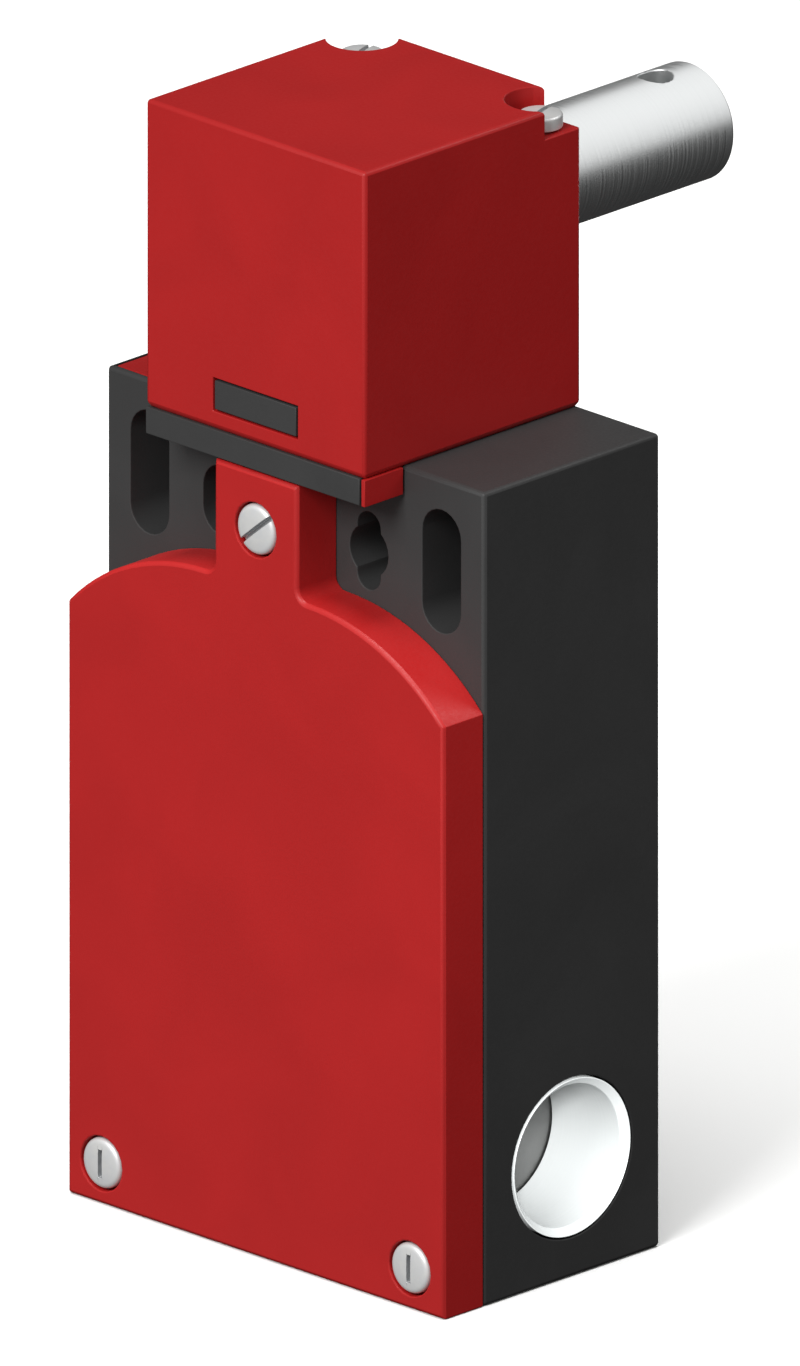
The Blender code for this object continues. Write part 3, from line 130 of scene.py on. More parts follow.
# %% Moulded nylon
GRAIN = 0.34 * MM
CLOUD = 15.0 * MM
GRAIN_SPECULAR = 0.35
GRAIN_GLOSSIER, GRAIN_DULLER = 0.05, 0.07
NOISE_SPAN = {"From Min": 0.3, "From Max": 0.7}
COLOUR_SPAN = {"From Min": 0.35, "From Max": 0.65}
FACTOR, COLOUR_A, COLOUR_B, COLOUR_OUT = 0, 6, 7, 2


def moulded_nylon(name, card, cloud_card, roughness, relief):
    """Grain dents the surface and changes its sheen, and clouds shift the colour a little."""
    made, tree, shader, place = start_finish(name, roughness)
    shader.inputs["Specular IOR Level"].default_value = GRAIN_SPECULAR
    grain = add(tree, "ShaderNodeTexNoise", {"Vector": place, "Scale": 1 / GRAIN, "Detail": 2.0,
                                             "Roughness": 0.55}).outputs["Fac"]
    clouds = add(tree, "ShaderNodeTexNoise", {"Vector": place, "Scale": 1 / CLOUD, "Detail": 3.0,
                                              "Distortion": 0.6}).outputs["Fac"]
    amount = add(tree, "ShaderNodeMapRange", {"Value": clouds, **COLOUR_SPAN})
    colour = add(tree, "ShaderNodeMix", {FACTOR: amount.outputs["Result"], COLOUR_A: linear(card),
                                         COLOUR_B: linear(cloud_card)}, data_type="RGBA")
    tree.links.new(colour.outputs[COLOUR_OUT], shader.inputs["Base Color"])
    sheen = add(tree, "ShaderNodeMapRange", {"Value": grain, **NOISE_SPAN,
                                             "To Min": roughness - GRAIN_GLOSSIER,
                                             "To Max": roughness + GRAIN_DULLER})
    tree.links.new(sheen.outputs["Result"], shader.inputs["Roughness"])
    dents = add(tree, "ShaderNodeBump", {"Height": grain, "Strength": 0.5, "Distance": relief})
    tree.links.new(dents.outputs["Normal"], shader.inputs["Normal"])
    return made


GLASS_FILLED_RELIEF, PLAIN_RELIEF = 0.018 * MM, 0.010 * MM
red_nylon = moulded_nylon("glass-filled nylon, moulded, red", "#B01D1D", "#AA1B1B", 0.46, GLASS_FILLED_RELIEF)
black_nylon = moulded_nylon("glass-filled nylon, moulded, black", "#3C3C3C", "#383838", 0.52,
                            GLASS_FILLED_RELIEF)
grey_nylon = moulded_nylon("nylon, moulded, grey", "#6F6F6E", "#6B6B6A", 0.55, PLAIN_RELIEF)
ivory_nylon = moulded_nylon("nylon, moulded, ivory", "#CDC4AC", "#C7BEA5", 0.50, PLAIN_RELIEF)
print("moulded finishes:", [finish.name for finish in (red_nylon, black_nylon, grey_nylon, ivory_nylon)])

# %% [markdown]
# ## Turned metals
#
# The shaft and the bushes were turned on a lathe. The tool leaves fine rings round the axis, and on an end
# face it leaves circles. One number gives both: the distance along the axis plus the distance from it. It
# grows along the side and also across the end face, so a noise of that number alone draws rings on one
# and circles on the other. The real rings are 0.1 mm apart, and they are drawn 0.25 mm apart so that they
# show at this picture's size.
#
# Bare steel and brass mirror what stands round them. The cable entry's bush was blasted and nickel plated
# after turning, so it scatters more light than it mirrors and looks pale and dull: here it is only partly
# metallic.

# %% Turned metal
TURNING = 0.25 * MM
MARK_GLOSSIER, MARK_DULLER = 0.06, 0.08


def turned_metal(name, card, roughness, metallic, axis, centre, relief):
    """Rings round the axis, from a one-dimensional noise of height along the axis plus radius."""
    made, tree, shader, place = start_finish(name, roughness, metallic)
    shader.inputs["Base Color"].default_value = linear(card)
    shift = [-c * MM for c in centre]
    centred = add(tree, "ShaderNodeMapping", {"Vector": place, "Location": shift}).outputs["Vector"]
    parts = add(tree, "ShaderNodeSeparateXYZ", {"Vector": centred}).outputs
    across = [letter for letter in "XYZ" if letter != axis]
    flat = add(tree, "ShaderNodeCombineXYZ", {0: parts[across[0]], 1: parts[across[1]]}).outputs["Vector"]
    radius = add(tree, "ShaderNodeVectorMath", {0: flat}, operation="LENGTH").outputs["Value"]
    path = add(tree, "ShaderNodeMath", {0: radius, 1: parts[axis]}, operation="ADD").outputs["Value"]
    rings = add(tree, "ShaderNodeTexNoise", {"W": path, "Scale": 1 / TURNING, "Detail": 3.0},
                noise_dimensions="1D").outputs["Fac"]
    sheen = add(tree, "ShaderNodeMapRange", {"Value": rings, **NOISE_SPAN,
                                             "To Min": roughness - MARK_GLOSSIER,
                                             "To Max": roughness + MARK_DULLER})
    tree.links.new(sheen.outputs["Result"], shader.inputs["Roughness"])
    marks = add(tree, "ShaderNodeBump", {"Height": rings, "Strength": 0.4, "Distance": relief})
    tree.links.new(marks.outputs["Normal"], shader.inputs["Normal"])
    return made


SHAFT_AXIS = (0.0, 0.0, 102.6)
ENTRY_AXIS = (0.0, 0.0, 12.4)
PLUNGER_AXIS = (0.0, 1.0, 0.0)
BRASS = "#C9A95E"
shaft_steel = turned_metal("steel, turned", "#DEE0E0", 0.40, 1.00, "Y", SHAFT_AXIS, 0.009 * MM)
bush_nickel = turned_metal("brass, blasted and nickel plated", "#ABAEAE", 0.45, 0.35, "X", ENTRY_AXIS,
                           0.003 * MM)
bush_brass = turned_metal("brass, turned", BRASS, 0.34, 1.0, "Y", SHAFT_AXIS, 0.004 * MM)
plunger_steel = turned_metal("stainless steel, turned", "#C6C7C5", 0.30, 1.0, "Z", PLUNGER_AXIS, 0.003 * MM)
guide_brass = turned_metal("brass, turned, for the guide", BRASS, 0.34, 1.0, "Z", PLUNGER_AXIS, 0.004 * MM)
turned_finishes = (shaft_steel, bush_nickel, bush_brass, plunger_steel, guide_brass)
print("turned finishes:", [finish.name for finish in turned_finishes])

# %% [markdown]
# ## Plated and rolled metals, and rubber
#
# The screws are steel, cold headed and zinc plated in a barrel, where they knock against each other: a
# pale, satin grey with soft blotches. Such a plating scatters much of the light, so it is partly metallic
# here. A screw's slot is sawn and takes little zinc, and its finish is darker: partly the bare sawn steel,
# partly painted shade for the shade that falls in the slot. The contact bridges and terminals are rolled
# brass sheet, the return spring is bright drawn wire, and the seals are moulded rubber, dark and matt with a
# fine skin. All are one recipe: blotches that change the colour and the sheen, and a fine roughness of the
# skin. Each gives its two colour cards, its roughness and its share of metal, and the sizes of its blotches,
# skin and relief in millimetres.

# %% Blotched finishes


def blotched(name, card, blotch_card, roughness, metallic, blotch, skin, relief):
    """Slow blotches change colour and sheen, and a fine noise dents the skin."""
    made, tree, shader, place = start_finish(name, roughness, metallic)
    spots = add(tree, "ShaderNodeTexNoise", {"Vector": place, "Scale": 1 / (blotch * MM), "Detail": 4.0,
                                             "Distortion": 0.4}).outputs["Fac"]
    amount = add(tree, "ShaderNodeMapRange", {"Value": spots, **COLOUR_SPAN})
    colour = add(tree, "ShaderNodeMix", {FACTOR: amount.outputs["Result"], COLOUR_A: linear(card),
                                         COLOUR_B: linear(blotch_card)}, data_type="RGBA")
    tree.links.new(colour.outputs[COLOUR_OUT], shader.inputs["Base Color"])
    sheen = add(tree, "ShaderNodeMapRange", {"Value": spots, **NOISE_SPAN,
                                             "To Min": roughness - MARK_GLOSSIER,
                                             "To Max": roughness + MARK_DULLER})
    tree.links.new(sheen.outputs["Result"], shader.inputs["Roughness"])
    fine = add(tree, "ShaderNodeTexNoise", {"Vector": place, "Scale": 1 / (skin * MM), "Detail": 2.0})
    dents = add(tree, "ShaderNodeBump", {"Height": fine.outputs["Fac"], "Strength": 0.4,
                                         "Distance": relief * MM})
    tree.links.new(dents.outputs["Normal"], shader.inputs["Normal"])
    return made


screw_zinc = blotched("steel, zinc plated", "#EDEDEB", "#E4E5E6", 0.40, 0.40, 1.4, 0.15, 0.004)
sheet_brass = blotched("brass, rolled sheet", "#CBAA60", "#BE9C54", 0.34, 1.0, 3.0, 0.20, 0.003)
spring_steel = blotched("spring steel, drawn", "#B9BBBC", "#AEB0B2", 0.30, 1.0, 1.0, 0.10, 0.002)
seal_rubber = blotched("rubber, moulded", "#1B1B1B", "#202020", 0.72, 0.0, 2.5, 0.12, 0.006)
# The sawn finish is darker than the plating, partly as painted shade for the depth of the slot.
sawn_steel_painted_shade = blotched("steel, sawn, thin zinc, painted slot shade", "#C0C2C4", "#B0B2B4", 0.55, 0.40, 0.5, 0.12,
                      0.008)
blotched_finishes = (screw_zinc, sheet_brass, spring_steel, seal_rubber, sawn_steel_painted_shade)
print("blotched finishes:", [finish.name for finish in blotched_finishes])

# %% [markdown]
# ## Moulded bodies
#
# The housing, cover, head and seat plate already have the right shape in CAD, with their cavities, slots
# and ribs. What a CAD solid lacks is the tiny round that every mould leaves along an edge, which catches
# the light as a thin line. The solids come as loose triangles, so a copy is merged and its flat triangles
# are joined into whole faces. Then only the real edges are rounded, not the flats of the arcs. Edges
# inside, and one rim too thin to be rounded, are spared. CAD also leaves a quarter of a millimetre between
# seated pieces, through which the light would shine. The real ones touch, so the flats that the cover and
# the head seat on are brought nearer.

# %% Round and smooth the edges of a mesh
EDGE_TURN = math.radians(32.0)
SMOOTH_TURN = math.radians(20.0)
QUAD_CORNERS = 4


def mark_sharp(bm, whole_flats):
    """An edge stays sharp where it turns by more than SMOOTH_TURN, or where it bounds a whole flat face."""
    for face in bm.faces:
        face.smooth = True
    for edge in bm.edges:
        bounds_flat = whole_flats and max(len(face.verts) for face in edge.link_faces) > QUAD_CORNERS
        edge.smooth = edge.calc_face_angle(0.0) < SMOOTH_TURN and not bounds_flat


def link_piece(name, bm, finish, whole_flats=False):
    """Puts a bmesh into the scene as an object with one finish, smooth where its faces nearly agree."""
    mark_sharp(bm, whole_flats)
    mesh = bpy.data.meshes.new(name)
    bm.to_mesh(mesh)
    bm.free()
    mesh.materials.append(finish)
    piece = bpy.data.objects.new(name, mesh)
    bpy.context.scene.collection.objects.link(piece)
    return piece


def inside(point, box):
    """Whether a point in metres lies in a box given in millimetres as its two corners."""
    return all(low <= c / MM <= high for low, c, high in zip(box[0], point, box[1]))


def round_edges(bm, width, spared=()):
    """Two flats in place of every edge that turns by more than EDGE_TURN, outside the spared boxes."""
    rims = []
    for edge in bm.edges:
        middle = (edge.verts[0].co + edge.verts[1].co) / 2
        if edge.calc_face_angle(0.0) > EDGE_TURN and not any(inside(middle, box) for box in spared):
            rims.append(edge)
    bmesh.ops.bevel(bm, geom=rims, offset=width, segments=2, profile=0.5, affect="EDGES", clamp_overlap=False)


print("edges are rounded above", round(math.degrees(EDGE_TURN)), "degrees of turn")

# %% Copy a CAD node and put it on its body
FLAT_TURN = math.radians(0.5)
SAME_POINT = 0.002 * MM
SAME_HEIGHT = 0.01 * MM


def place_piece(piece, body, slot, *nodes):
    """The piece moves with a CAD body and stands for CAD nodes, which are hidden. The slot is not used."""
    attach(piece, body)
    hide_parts(*nodes)


def close_seat(bm, axis, height, shift):
    """Moves the flats that lie at a height along an axis by a shift along it, both in millimetres."""
    main = "XYZ".index(axis)
    flat = [vert for vert in bm.verts if abs(vert.co[main] - height * MM) < SAME_HEIGHT]
    bmesh.ops.translate(bm, verts=flat, vec=[shift * MM if k == main else 0.0 for k in range(3)])


def moulded_copy(node, name, width, finish, slot, spared=(), seat=None):
    """A copy of a CAD node with merged points, whole flat faces, closed seat and rounded edges.

    The width of the edges is in millimetres, and seat gives close_seat its axis, height and shift.
    """
    bm = bmesh.new()
    bm.from_mesh(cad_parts[node].data)
    bmesh.ops.remove_doubles(bm, verts=bm.verts, dist=SAME_POINT)
    bmesh.ops.dissolve_limit(bm, angle_limit=FLAT_TURN, verts=bm.verts, edges=bm.edges)
    if seat:
        close_seat(bm, *seat)
    round_edges(bm, width * MM, spared)
    piece = link_piece(name, bm, finish, whole_flats=True)
    place_piece(piece, "switch_body", slot, node)
    print(name, "has", len(piece.data.polygons), "faces")
    return piece


print("points closer than", SAME_POINT / MM, "mm are merged")

# %% Housing, cover, head and seat plate
HOUSING_INSIDE = ((-23.1, -11.9, 2.9), (23.1, 9.6, 59.6))
HOUSING_THIN_RIM = ((-25.9, -12.0, 84.0), (-25.2, 12.0, 84.7))
HEAD_INSIDE = ((-12.0, -14.4, 84.9), (12.0, 7.0, 113.5))
COVER_SEAT, HEAD_SEAT = -12.45, 84.85
SEAT_CLOSING = 0.24
housing = moulded_copy("housing", "moulded_housing", 0.10, black_nylon, "black_moulding",
                       (HOUSING_INSIDE, HOUSING_THIN_RIM))
cover = moulded_copy("cover", "moulded_cover", 0.14, red_nylon, "red_moulding",
                     seat=("Y", COVER_SEAT, SEAT_CLOSING))
head = moulded_copy("head_housing", "moulded_head", 0.10, red_nylon, "red_moulding", (HEAD_INSIDE,),
                    seat=("Z", HEAD_SEAT, -SEAT_CLOSING))
seat_plate = moulded_copy("head_seat_plate", "moulded_seat_plate", 0.08, red_nylon, "red_moulding")

# %% [markdown]
# ## Turned pieces
#
# A lathe makes a surface of revolution: a profile carried round an axis. The surface has two parameters,
# the place along the profile and the angle round the axis. Numpy works out the whole grid at once. Sharp
# corners of the profile are first softened, because a deburred edge is a small curve.

# %% Soften a profile


def soften(corners, steps=8):
    """Each (radius, along, reach) corner becomes a curve (1-s)^2 A + 2s(1-s) P + s^2 B.

    P is the corner, and A and B lie reach before and after it. A reach of 0 keeps the corner sharp.
    """
    corners = np.array(corners)
    points, reach = corners[:, :2], corners[:, 2:3]
    before = np.roll(points, 1, axis=0) - points
    after = np.roll(points, -1, axis=0) - points
    start = points + reach * before / np.linalg.norm(before, axis=1, keepdims=True)
    end = points + reach * after / np.linalg.norm(after, axis=1, keepdims=True)
    s = np.linspace(0.0, 1.0, steps)[None, :, None]
    curve = (1 - s) ** 2 * start[:, None] + 2 * s * (1 - s) * points[:, None] + s ** 2 * end[:, None]
    return curve.reshape(-1, 2)


washer = soften([(1.0, 0.0, 0.1), (2.0, 0.0, 0.1), (2.0, 0.5, 0.1), (1.0, 0.5, 0.1)])
print("the soft profile of a washer has", len(washer), "points")

# %% Carry a profile round an axis
SAME_POLE = 0.0005 * MM


def grid_quads(rows, columns, last_joins_first=True):
    """Quad (k, a) joins rows k and k + 1 at columns a and a + 1, and the last column joins the first."""
    row = np.arange(rows)[:, None] * columns
    next_row = np.roll(row, -1)
    column = np.arange(columns)[None, :]
    next_column = np.roll(column, -1)
    corners = np.stack([row + column, row + next_column, next_row + next_column, next_row + column], axis=-1)
    return (corners if last_joins_first else corners[:-1]).reshape(-1, 4)


def revolve(profile, axis, centre, sides=96):
    """Grid point (k, a) is centre + along_k on the axis + radius_k (cos a, sin a) across it.

    The profile is a closed loop of (radius, along). Points at radius 0 meet in one pole.
    """
    radius, along = (profile * MM).T
    angle = np.linspace(0.0, 2 * np.pi, sides, endpoint=False)
    grid = np.zeros((len(radius), sides, 3))
    main = "XYZ".index(axis)
    first, second = (main + 1) % 3, (main + 2) % 3
    grid[..., main] = along[:, None]
    grid[..., first] = radius[:, None] * np.cos(angle)
    grid[..., second] = radius[:, None] * np.sin(angle)
    grid += np.array(centre) * MM
    return grid.reshape(-1, 3), grid_quads(len(radius), sides)


def close_surface(name, points, quads, finish):
    """Makes a piece of a grid: its poles are merged and its faces turned outwards."""
    mesh = bpy.data.meshes.new(name)
    mesh.from_pydata(points.tolist(), [], quads.tolist())
    bm = bmesh.new()
    bm.from_mesh(mesh)
    bpy.data.meshes.remove(mesh)
    bmesh.ops.remove_doubles(bm, verts=bm.verts, dist=SAME_POLE)
    bmesh.ops.recalc_face_normals(bm, faces=bm.faces)
    return link_piece(name, bm, finish)


def turned_piece(name, corners, axis, centre, finish, sides=96):
    """Softens the profile, revolves it, merges its poles and turns its faces outwards."""
    points, quads = revolve(soften(corners), axis, centre, sides)
    return close_surface(name, points, quads, finish)


print("carried round an axis, the washer has", len(revolve(washer, "Z", (0.0, 0.0, 0.0))[1]), "faces")

# %% [markdown]
# The entry bush is a plain turned ring with a chamfered mouth, and the disc at its bottom is moulded. The
# bearing bush at the back of the head is a turned ring too, and the lip seal round the shaft a moulded one.
# Their places come from the boxes of their CAD nodes. Every corner of a profile gives its radius, its place
# along the axis and the reach of its soft edge.

# %% Entry bush and entry disc
MOUTH_RIM = 0.1
MOUTH_CHAMFER = 0.7
entry_low, entry_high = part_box("entry_bush")
disc_low, disc_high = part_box("entry_disc")
bush_radius = (entry_high.z - entry_low.z) / 2 / MM
mouth, bottom = entry_high.x / MM, entry_low.x / MM
mouth_radius = bush_radius - MOUTH_RIM
bore_radius = mouth_radius - MOUTH_CHAMFER
entry_bush = turned_piece("turned_entry_bush", [
    (bush_radius, bottom, 0.08), (bush_radius, mouth, 0.04), (mouth_radius, mouth, 0.04),
    (bore_radius, mouth - MOUTH_CHAMFER, 0.12), (bore_radius, bottom, 0.08),
], "X", ENTRY_AXIS, bush_nickel)
place_piece(entry_bush, "switch_body", "nickel_plated_brass", "entry_bush")

disc_radius = (disc_high.z - disc_low.z) / 2 / MM
entry_disc = turned_piece("moulded_entry_disc", [
    (0.0, disc_low.x / MM, 0.0), (disc_radius, disc_low.x / MM, 0.15), (disc_radius, disc_high.x / MM, 0.15),
    (0.0, disc_high.x / MM, 0.0),
], "X", ENTRY_AXIS, grey_nylon)
place_piece(entry_disc, "switch_body", "grey_moulding", "entry_disc")
print("entry bush outside radius:", round(bush_radius, 2), "mm, disc radius:", round(disc_radius, 2), "mm")

# %% Rear bush and shaft seal
SHAFT_RADIUS = 6.0
RUNNING_GAP = 0.25
bore = SHAFT_RADIUS + RUNNING_GAP
bearing_low, bearing_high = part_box("rear_bush")
bearing_radius = (bearing_high.x - bearing_low.x) / 2 / MM
rear_bush = turned_piece("turned_rear_bush", [
    (bearing_radius, bearing_low.y / MM, 0.2), (bearing_radius, bearing_high.y / MM, 0.2),
    (bore, bearing_high.y / MM, 0.2), (bore, bearing_low.y / MM, 0.2),
], "Y", SHAFT_AXIS, bush_brass)
place_piece(rear_bush, "switch_body", "brass", "rear_bush")

SEAL_RADIUS, SEAL_MOUTH_RADIUS, SEAL_THROAT_RADIUS = 8.25, 7.4, 6.8
THROAT_DEPTH, LIP_EDGE = 0.6, 0.3
seal_low, seal_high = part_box("shaft_seal")
front, back = seal_low.y / MM, seal_high.y / MM
shaft_seal = turned_piece("moulded_shaft_seal", [
    (SEAL_RADIUS, front, 0.12), (SEAL_RADIUS, back, 0.12), (SEAL_MOUTH_RADIUS, back, 0.12),
    (SEAL_THROAT_RADIUS, back - THROAT_DEPTH, 0.15), (bore, back - LIP_EDGE, 0.08),
    (bore, front + LIP_EDGE, 0.08), (SEAL_THROAT_RADIUS, front, 0.10),
], "Y", SHAFT_AXIS, seal_rubber)
place_piece(shaft_seal, "switch_body", "rubber", "shaft_seal")
print("rear bush radius:", round(bearing_radius, 2), "mm, seal thickness:", round(back - front, 2), "mm")

# %% [markdown]
# ## Shaft
#
# The shaft is turned first and drilled afterwards, and it is made in that order here: a surface of
# revolution, then two drills that a Boolean takes away. The drills are turned pieces themselves. A bevel
# breaks the sharp rims that drilling leaves.

# %% Tools for carving


def carve(piece, *cutters):
    """Takes the cutters away from the piece for good, and removes them."""
    for cutter in cutters:
        step = piece.modifiers.new("carve", "BOOLEAN")
        step.object = cutter
        step.solver = "EXACT"
        step.material_mode = "TRANSFER"
    graph = bpy.context.evaluated_depsgraph_get()
    carved = bpy.data.meshes.new_from_object(piece.evaluated_get(graph))
    piece.modifiers.clear()
    piece.data = carved
    for cutter in cutters:
        bpy.data.objects.remove(cutter)
    print(piece.name, "carved by", len(cutters), "cutters")


def break_rims(piece, width):
    """Rounds the sharp edges of a piece that is already made."""
    bm = bmesh.new()
    bm.from_mesh(piece.data)
    round_edges(bm, width * MM)
    mark_sharp(bm, whole_flats=False)
    bm.to_mesh(piece.data)
    bm.free()


def drill(axis, centre, radius, reach):
    """A plain rod that sticks out of what it drills."""
    return turned_piece("drill", [(0.0, -reach, 0.0), (radius, -reach, 0.0), (radius, reach, 0.0),
                                  (0.0, reach, 0.0)], axis, centre, shaft_steel, sides=64)


print("helpers for carving:", carve.__name__, break_rims.__name__, drill.__name__)

# %% [markdown]
# The shaft has three diameters: a thin journal in the front bush, a seat for the cam, and the thick end that
# runs in the rear bush and is gripped by the hinge. Extra rings of points stand round the drilled holes, so
# that the Boolean cuts short faces there and the long ones beside them stay whole.

# %% Turn and drill the shaft
JOURNAL_RADIUS, CAM_SEAT_RADIUS = 3.0, 5.0
CAM_SEAT_START, CAM_SEAT_END = -6.0, 5.2
JOURNAL_CHAMFER, END_CHAMFER = 0.4, 0.6
SHOULDER_RING, END_RING_STEP, END_RING_RADIUS = 7.0, 1.0, 5.1
CROSS_HOLE, CROSS_HOLE_RADIUS = (0.0, 37.7, 102.6), 1.75
CROSS_HOLE_RINGS = (35.2, 35.8, 36.5, 37.3, 38.1, 38.9, 39.6, 40.2)
PIN_HOLE, PIN_HOLE_RADIUS = (0.0, 1.0, 102.6), 1.65
PIN_HOLE_RINGS = (-1.0, 0.3, 1.7, 3.0)
DRILL_REACH = 8.0
shaft_low, shaft_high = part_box("shaft")
start, end = shaft_low.y / MM, shaft_high.y / MM
rings = [(SHAFT_RADIUS, y, 0.0) for y in (SHOULDER_RING, *CROSS_HOLE_RINGS, end - END_RING_STEP)]
seat_rings = [(CAM_SEAT_RADIUS, y, 0.0) for y in PIN_HOLE_RINGS]
shaft = turned_piece("turned_shaft", [
    (0.0, start, 0.0), (JOURNAL_RADIUS - JOURNAL_CHAMFER, start, 0.05),
    (JOURNAL_RADIUS, start + JOURNAL_CHAMFER, 0.05), (JOURNAL_RADIUS, CAM_SEAT_START, 0.0),
    (CAM_SEAT_RADIUS, CAM_SEAT_START, 0.1), *seat_rings, (CAM_SEAT_RADIUS, CAM_SEAT_END, 0.0),
    (SHAFT_RADIUS, CAM_SEAT_END, 0.1), *rings, (SHAFT_RADIUS, end - END_CHAMFER, 0.12),
    (SHAFT_RADIUS - END_CHAMFER, end, 0.12), (END_RING_RADIUS, end, 0.0), (0.0, end, 0.0),
], "Y", SHAFT_AXIS, shaft_steel, sides=128)
carve(shaft, drill("Z", CROSS_HOLE, CROSS_HOLE_RADIUS, DRILL_REACH),
      drill("X", PIN_HOLE, PIN_HOLE_RADIUS, DRILL_REACH))
break_rims(shaft, width=0.12)
place_piece(shaft, "shaft", "turned_steel", "shaft")
print("shaft faces:", len(shaft.data.polygons))

# %% [markdown]
# ## Screws
#
# A cheese-head screw is headed cold, turned at its rim and slotted with a saw. The head's face is very
# slightly domed, which makes its grey change across it. The slot is a block that a Boolean takes away,
# straight through on the tab's screw and on the head's screws, and short on the cover's lower two. The
# block hands its own finish to the faces that it cuts, so the slot gets the darker sawn finish, which is
# partly painted shade, and the rest is plated.

# %% Saw a slot
SLOT_WIDTH = 0.55
SAW_ROOM = 1.0


def saw_block(axis, centre, face, inward, length, depth, turn):
    """The saw's way, a block. Its corner is centre + (a cos t - b sin t, a sin t + b cos t) across the axis.

    a is half the slot's width, b half its length and t its turn. Along the axis it reaches from SAW_ROOM
    above the screw's face to the slot's depth.
    """
    signs = np.array([(i, j, k) for i in (-1, 1) for j in (-1, 1) for k in (-1, 1)], dtype=float)
    across, lengthwise = signs[:, 0] * SLOT_WIDTH / 2, signs[:, 1] * length / 2
    height = face + inward * np.where(signs[:, 2] > 0, depth, -SAW_ROOM)
    first = across * math.cos(turn) - lengthwise * math.sin(turn)
    second = across * math.sin(turn) + lengthwise * math.cos(turn)
    planes = {"Y": (first + centre[0], height, second + centre[2]),
              "Z": (first + centre[0], second + centre[1], height)}
    bm = bmesh.new()
    corners = [bm.verts.new(p) for p in (np.stack(planes[axis], axis=1) * MM).tolist()]
    bmesh.ops.convex_hull(bm, input=corners)
    return link_piece("saw_way", bm, sawn_steel_painted_shade)


print("slot width:", SLOT_WIDTH, "mm")

# %% Turn and slot the screws
DOME_START = 0.45
DOME_DROP, RIM_DROP = 0.02, 0.16


def slotted_screw(node, axis, head_height, shank_radius, edge, depth, length, turn):
    """A domed cheese head and its shank between the ends that the CAD box gives.

    The edge is the reach of the head's soft rim, and depth, length and turn are the slot's.
    """
    low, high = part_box(node)
    main = "XYZ".index(axis)
    centre = [(a + b) / 2 / MM for a, b in zip(low, high)]
    face, tip = (low[main] / MM, high[main] / MM) if axis == "Y" else (high[main] / MM, low[main] / MM)
    centre[main] = 0.0
    head_radius = (high.x - low.x) / 2 / MM
    inward = 1.0 if tip > face else -1.0
    under = face + inward * head_height
    screw = turned_piece("plated_" + node, [
        (0.0, face, 0.0), (head_radius * DOME_START, face + inward * DOME_DROP, 0.3),
        (head_radius, face + inward * RIM_DROP, edge), (head_radius, under, 0.08), (shank_radius, under, 0.0),
        (shank_radius, tip - inward * shank_radius / 2, 0.1), (shank_radius / 2, tip, 0.1), (0.0, tip, 0.0),
    ], axis, centre, screw_zinc, sides=64)
    # The slot's faces take the sawn finish, darker partly as painted shade.
    carve(screw, saw_block(axis, centre, face, inward, length, depth, turn))
    break_rims(screw, width=0.04)
    place_piece(screw, "switch_body", "zinc_plated_steel", node)
    return screw


COVER_SCREW = {"axis": "Y", "head_height": 2.1, "shank_radius": 1.45, "edge": 0.6, "depth": 0.9}
HEAD_SCREW = {"axis": "Z", "head_height": 1.5, "shank_radius": 1.25, "edge": 0.3, "depth": 0.6}
THROUGH, SHORT = 8.0, 2.9
cover_screws = [slotted_screw("cover_screw_top", **COVER_SCREW, length=THROUGH, turn=math.radians(-50.0))]
for node in ("cover_screw_left", "cover_screw_right"):
    cover_screws.append(slotted_screw(node, **COVER_SCREW, length=SHORT, turn=0.0))
head_screws = [slotted_screw(node, **HEAD_SCREW, length=THROUGH, turn=math.radians(20.0))
               for node in ("head_screw_left", "head_screw_right")]
print("screws:", len(cover_screws) + len(head_screws))

# %% [markdown]
# ## Return spring
#
# A compression spring is wound from drawn wire, and its end turns are closed, so that it stands flat. It
# could be a curve with a round bevel, but here it is a circle carried along a path: the path is a helix
# whose height rests at both ends. In the switch the spring flattens by the plunger's stroke; here it is
# wound at its CAD height and gets a mesh of its own.

# %% Wind the spring
SPRING_TURNS = 4
CLOSED_TURN = 0.6
WIRE = 0.3


def wound_wire(coil, wire, low, high, centre, steps=120, sides=14):
    """Point (k, a) is helix_k + wire w_k (cos a outwards + sin a across), and w_k is 0 at both ends.

    The helix is centre + coil (cos u, sin u), u = 2 pi turns t. Its height goes from low to high between
    the closed turns and stays level on them.
    """
    t = np.linspace(0.0, 1.0, steps)
    t = np.concatenate([t[:1], t, t[-1:]])
    thick = np.where((np.arange(len(t)) > 0) & (np.arange(len(t)) < len(t) - 1), wire, 0.0)[:, None, None]
    turned = t * SPRING_TURNS
    u = 2 * np.pi * turned
    rise = np.clip((turned - CLOSED_TURN) / (SPRING_TURNS - 2 * CLOSED_TURN), 0.0, 1.0)
    height = low + (high - low) * rise
    helix = np.stack([centre[0] + coil * np.cos(u), centre[1] + coil * np.sin(u), height], axis=1)
    outwards = np.stack([np.cos(u), np.sin(u), np.zeros_like(u)], axis=1)
    climb = (high - low) / (SPRING_TURNS - 2 * CLOSED_TURN) / (2 * np.pi) * ((rise > 0) & (rise < 1))
    along = np.stack([-coil * np.sin(u), coil * np.cos(u), climb], axis=1)
    across = np.cross(along / np.linalg.norm(along, axis=1, keepdims=True), outwards)
    a = np.linspace(0.0, 2 * np.pi, sides, endpoint=False)[None, :, None]
    grid = helix[:, None] + thick * (np.cos(a) * outwards[:, None] + np.sin(a) * across[:, None])
    return grid.reshape(-1, 3) * MM, grid_quads(len(t), sides, last_joins_first=False)


spring_low, spring_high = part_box("return_spring")
coil_radius = (spring_high.x - spring_low.x) / 2 / MM - WIRE
points, quads = wound_wire(coil_radius, WIRE, spring_low.z / MM + WIRE, spring_high.z / MM - WIRE,
                           ((spring_low.x + spring_high.x) / 2 / MM, (spring_low.y + spring_high.y) / 2 / MM))
spring = close_surface("wound_return_spring", points, quads, spring_steel)
place_piece(spring, "switch_body", "turned_steel", "return_spring")
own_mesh(spring)

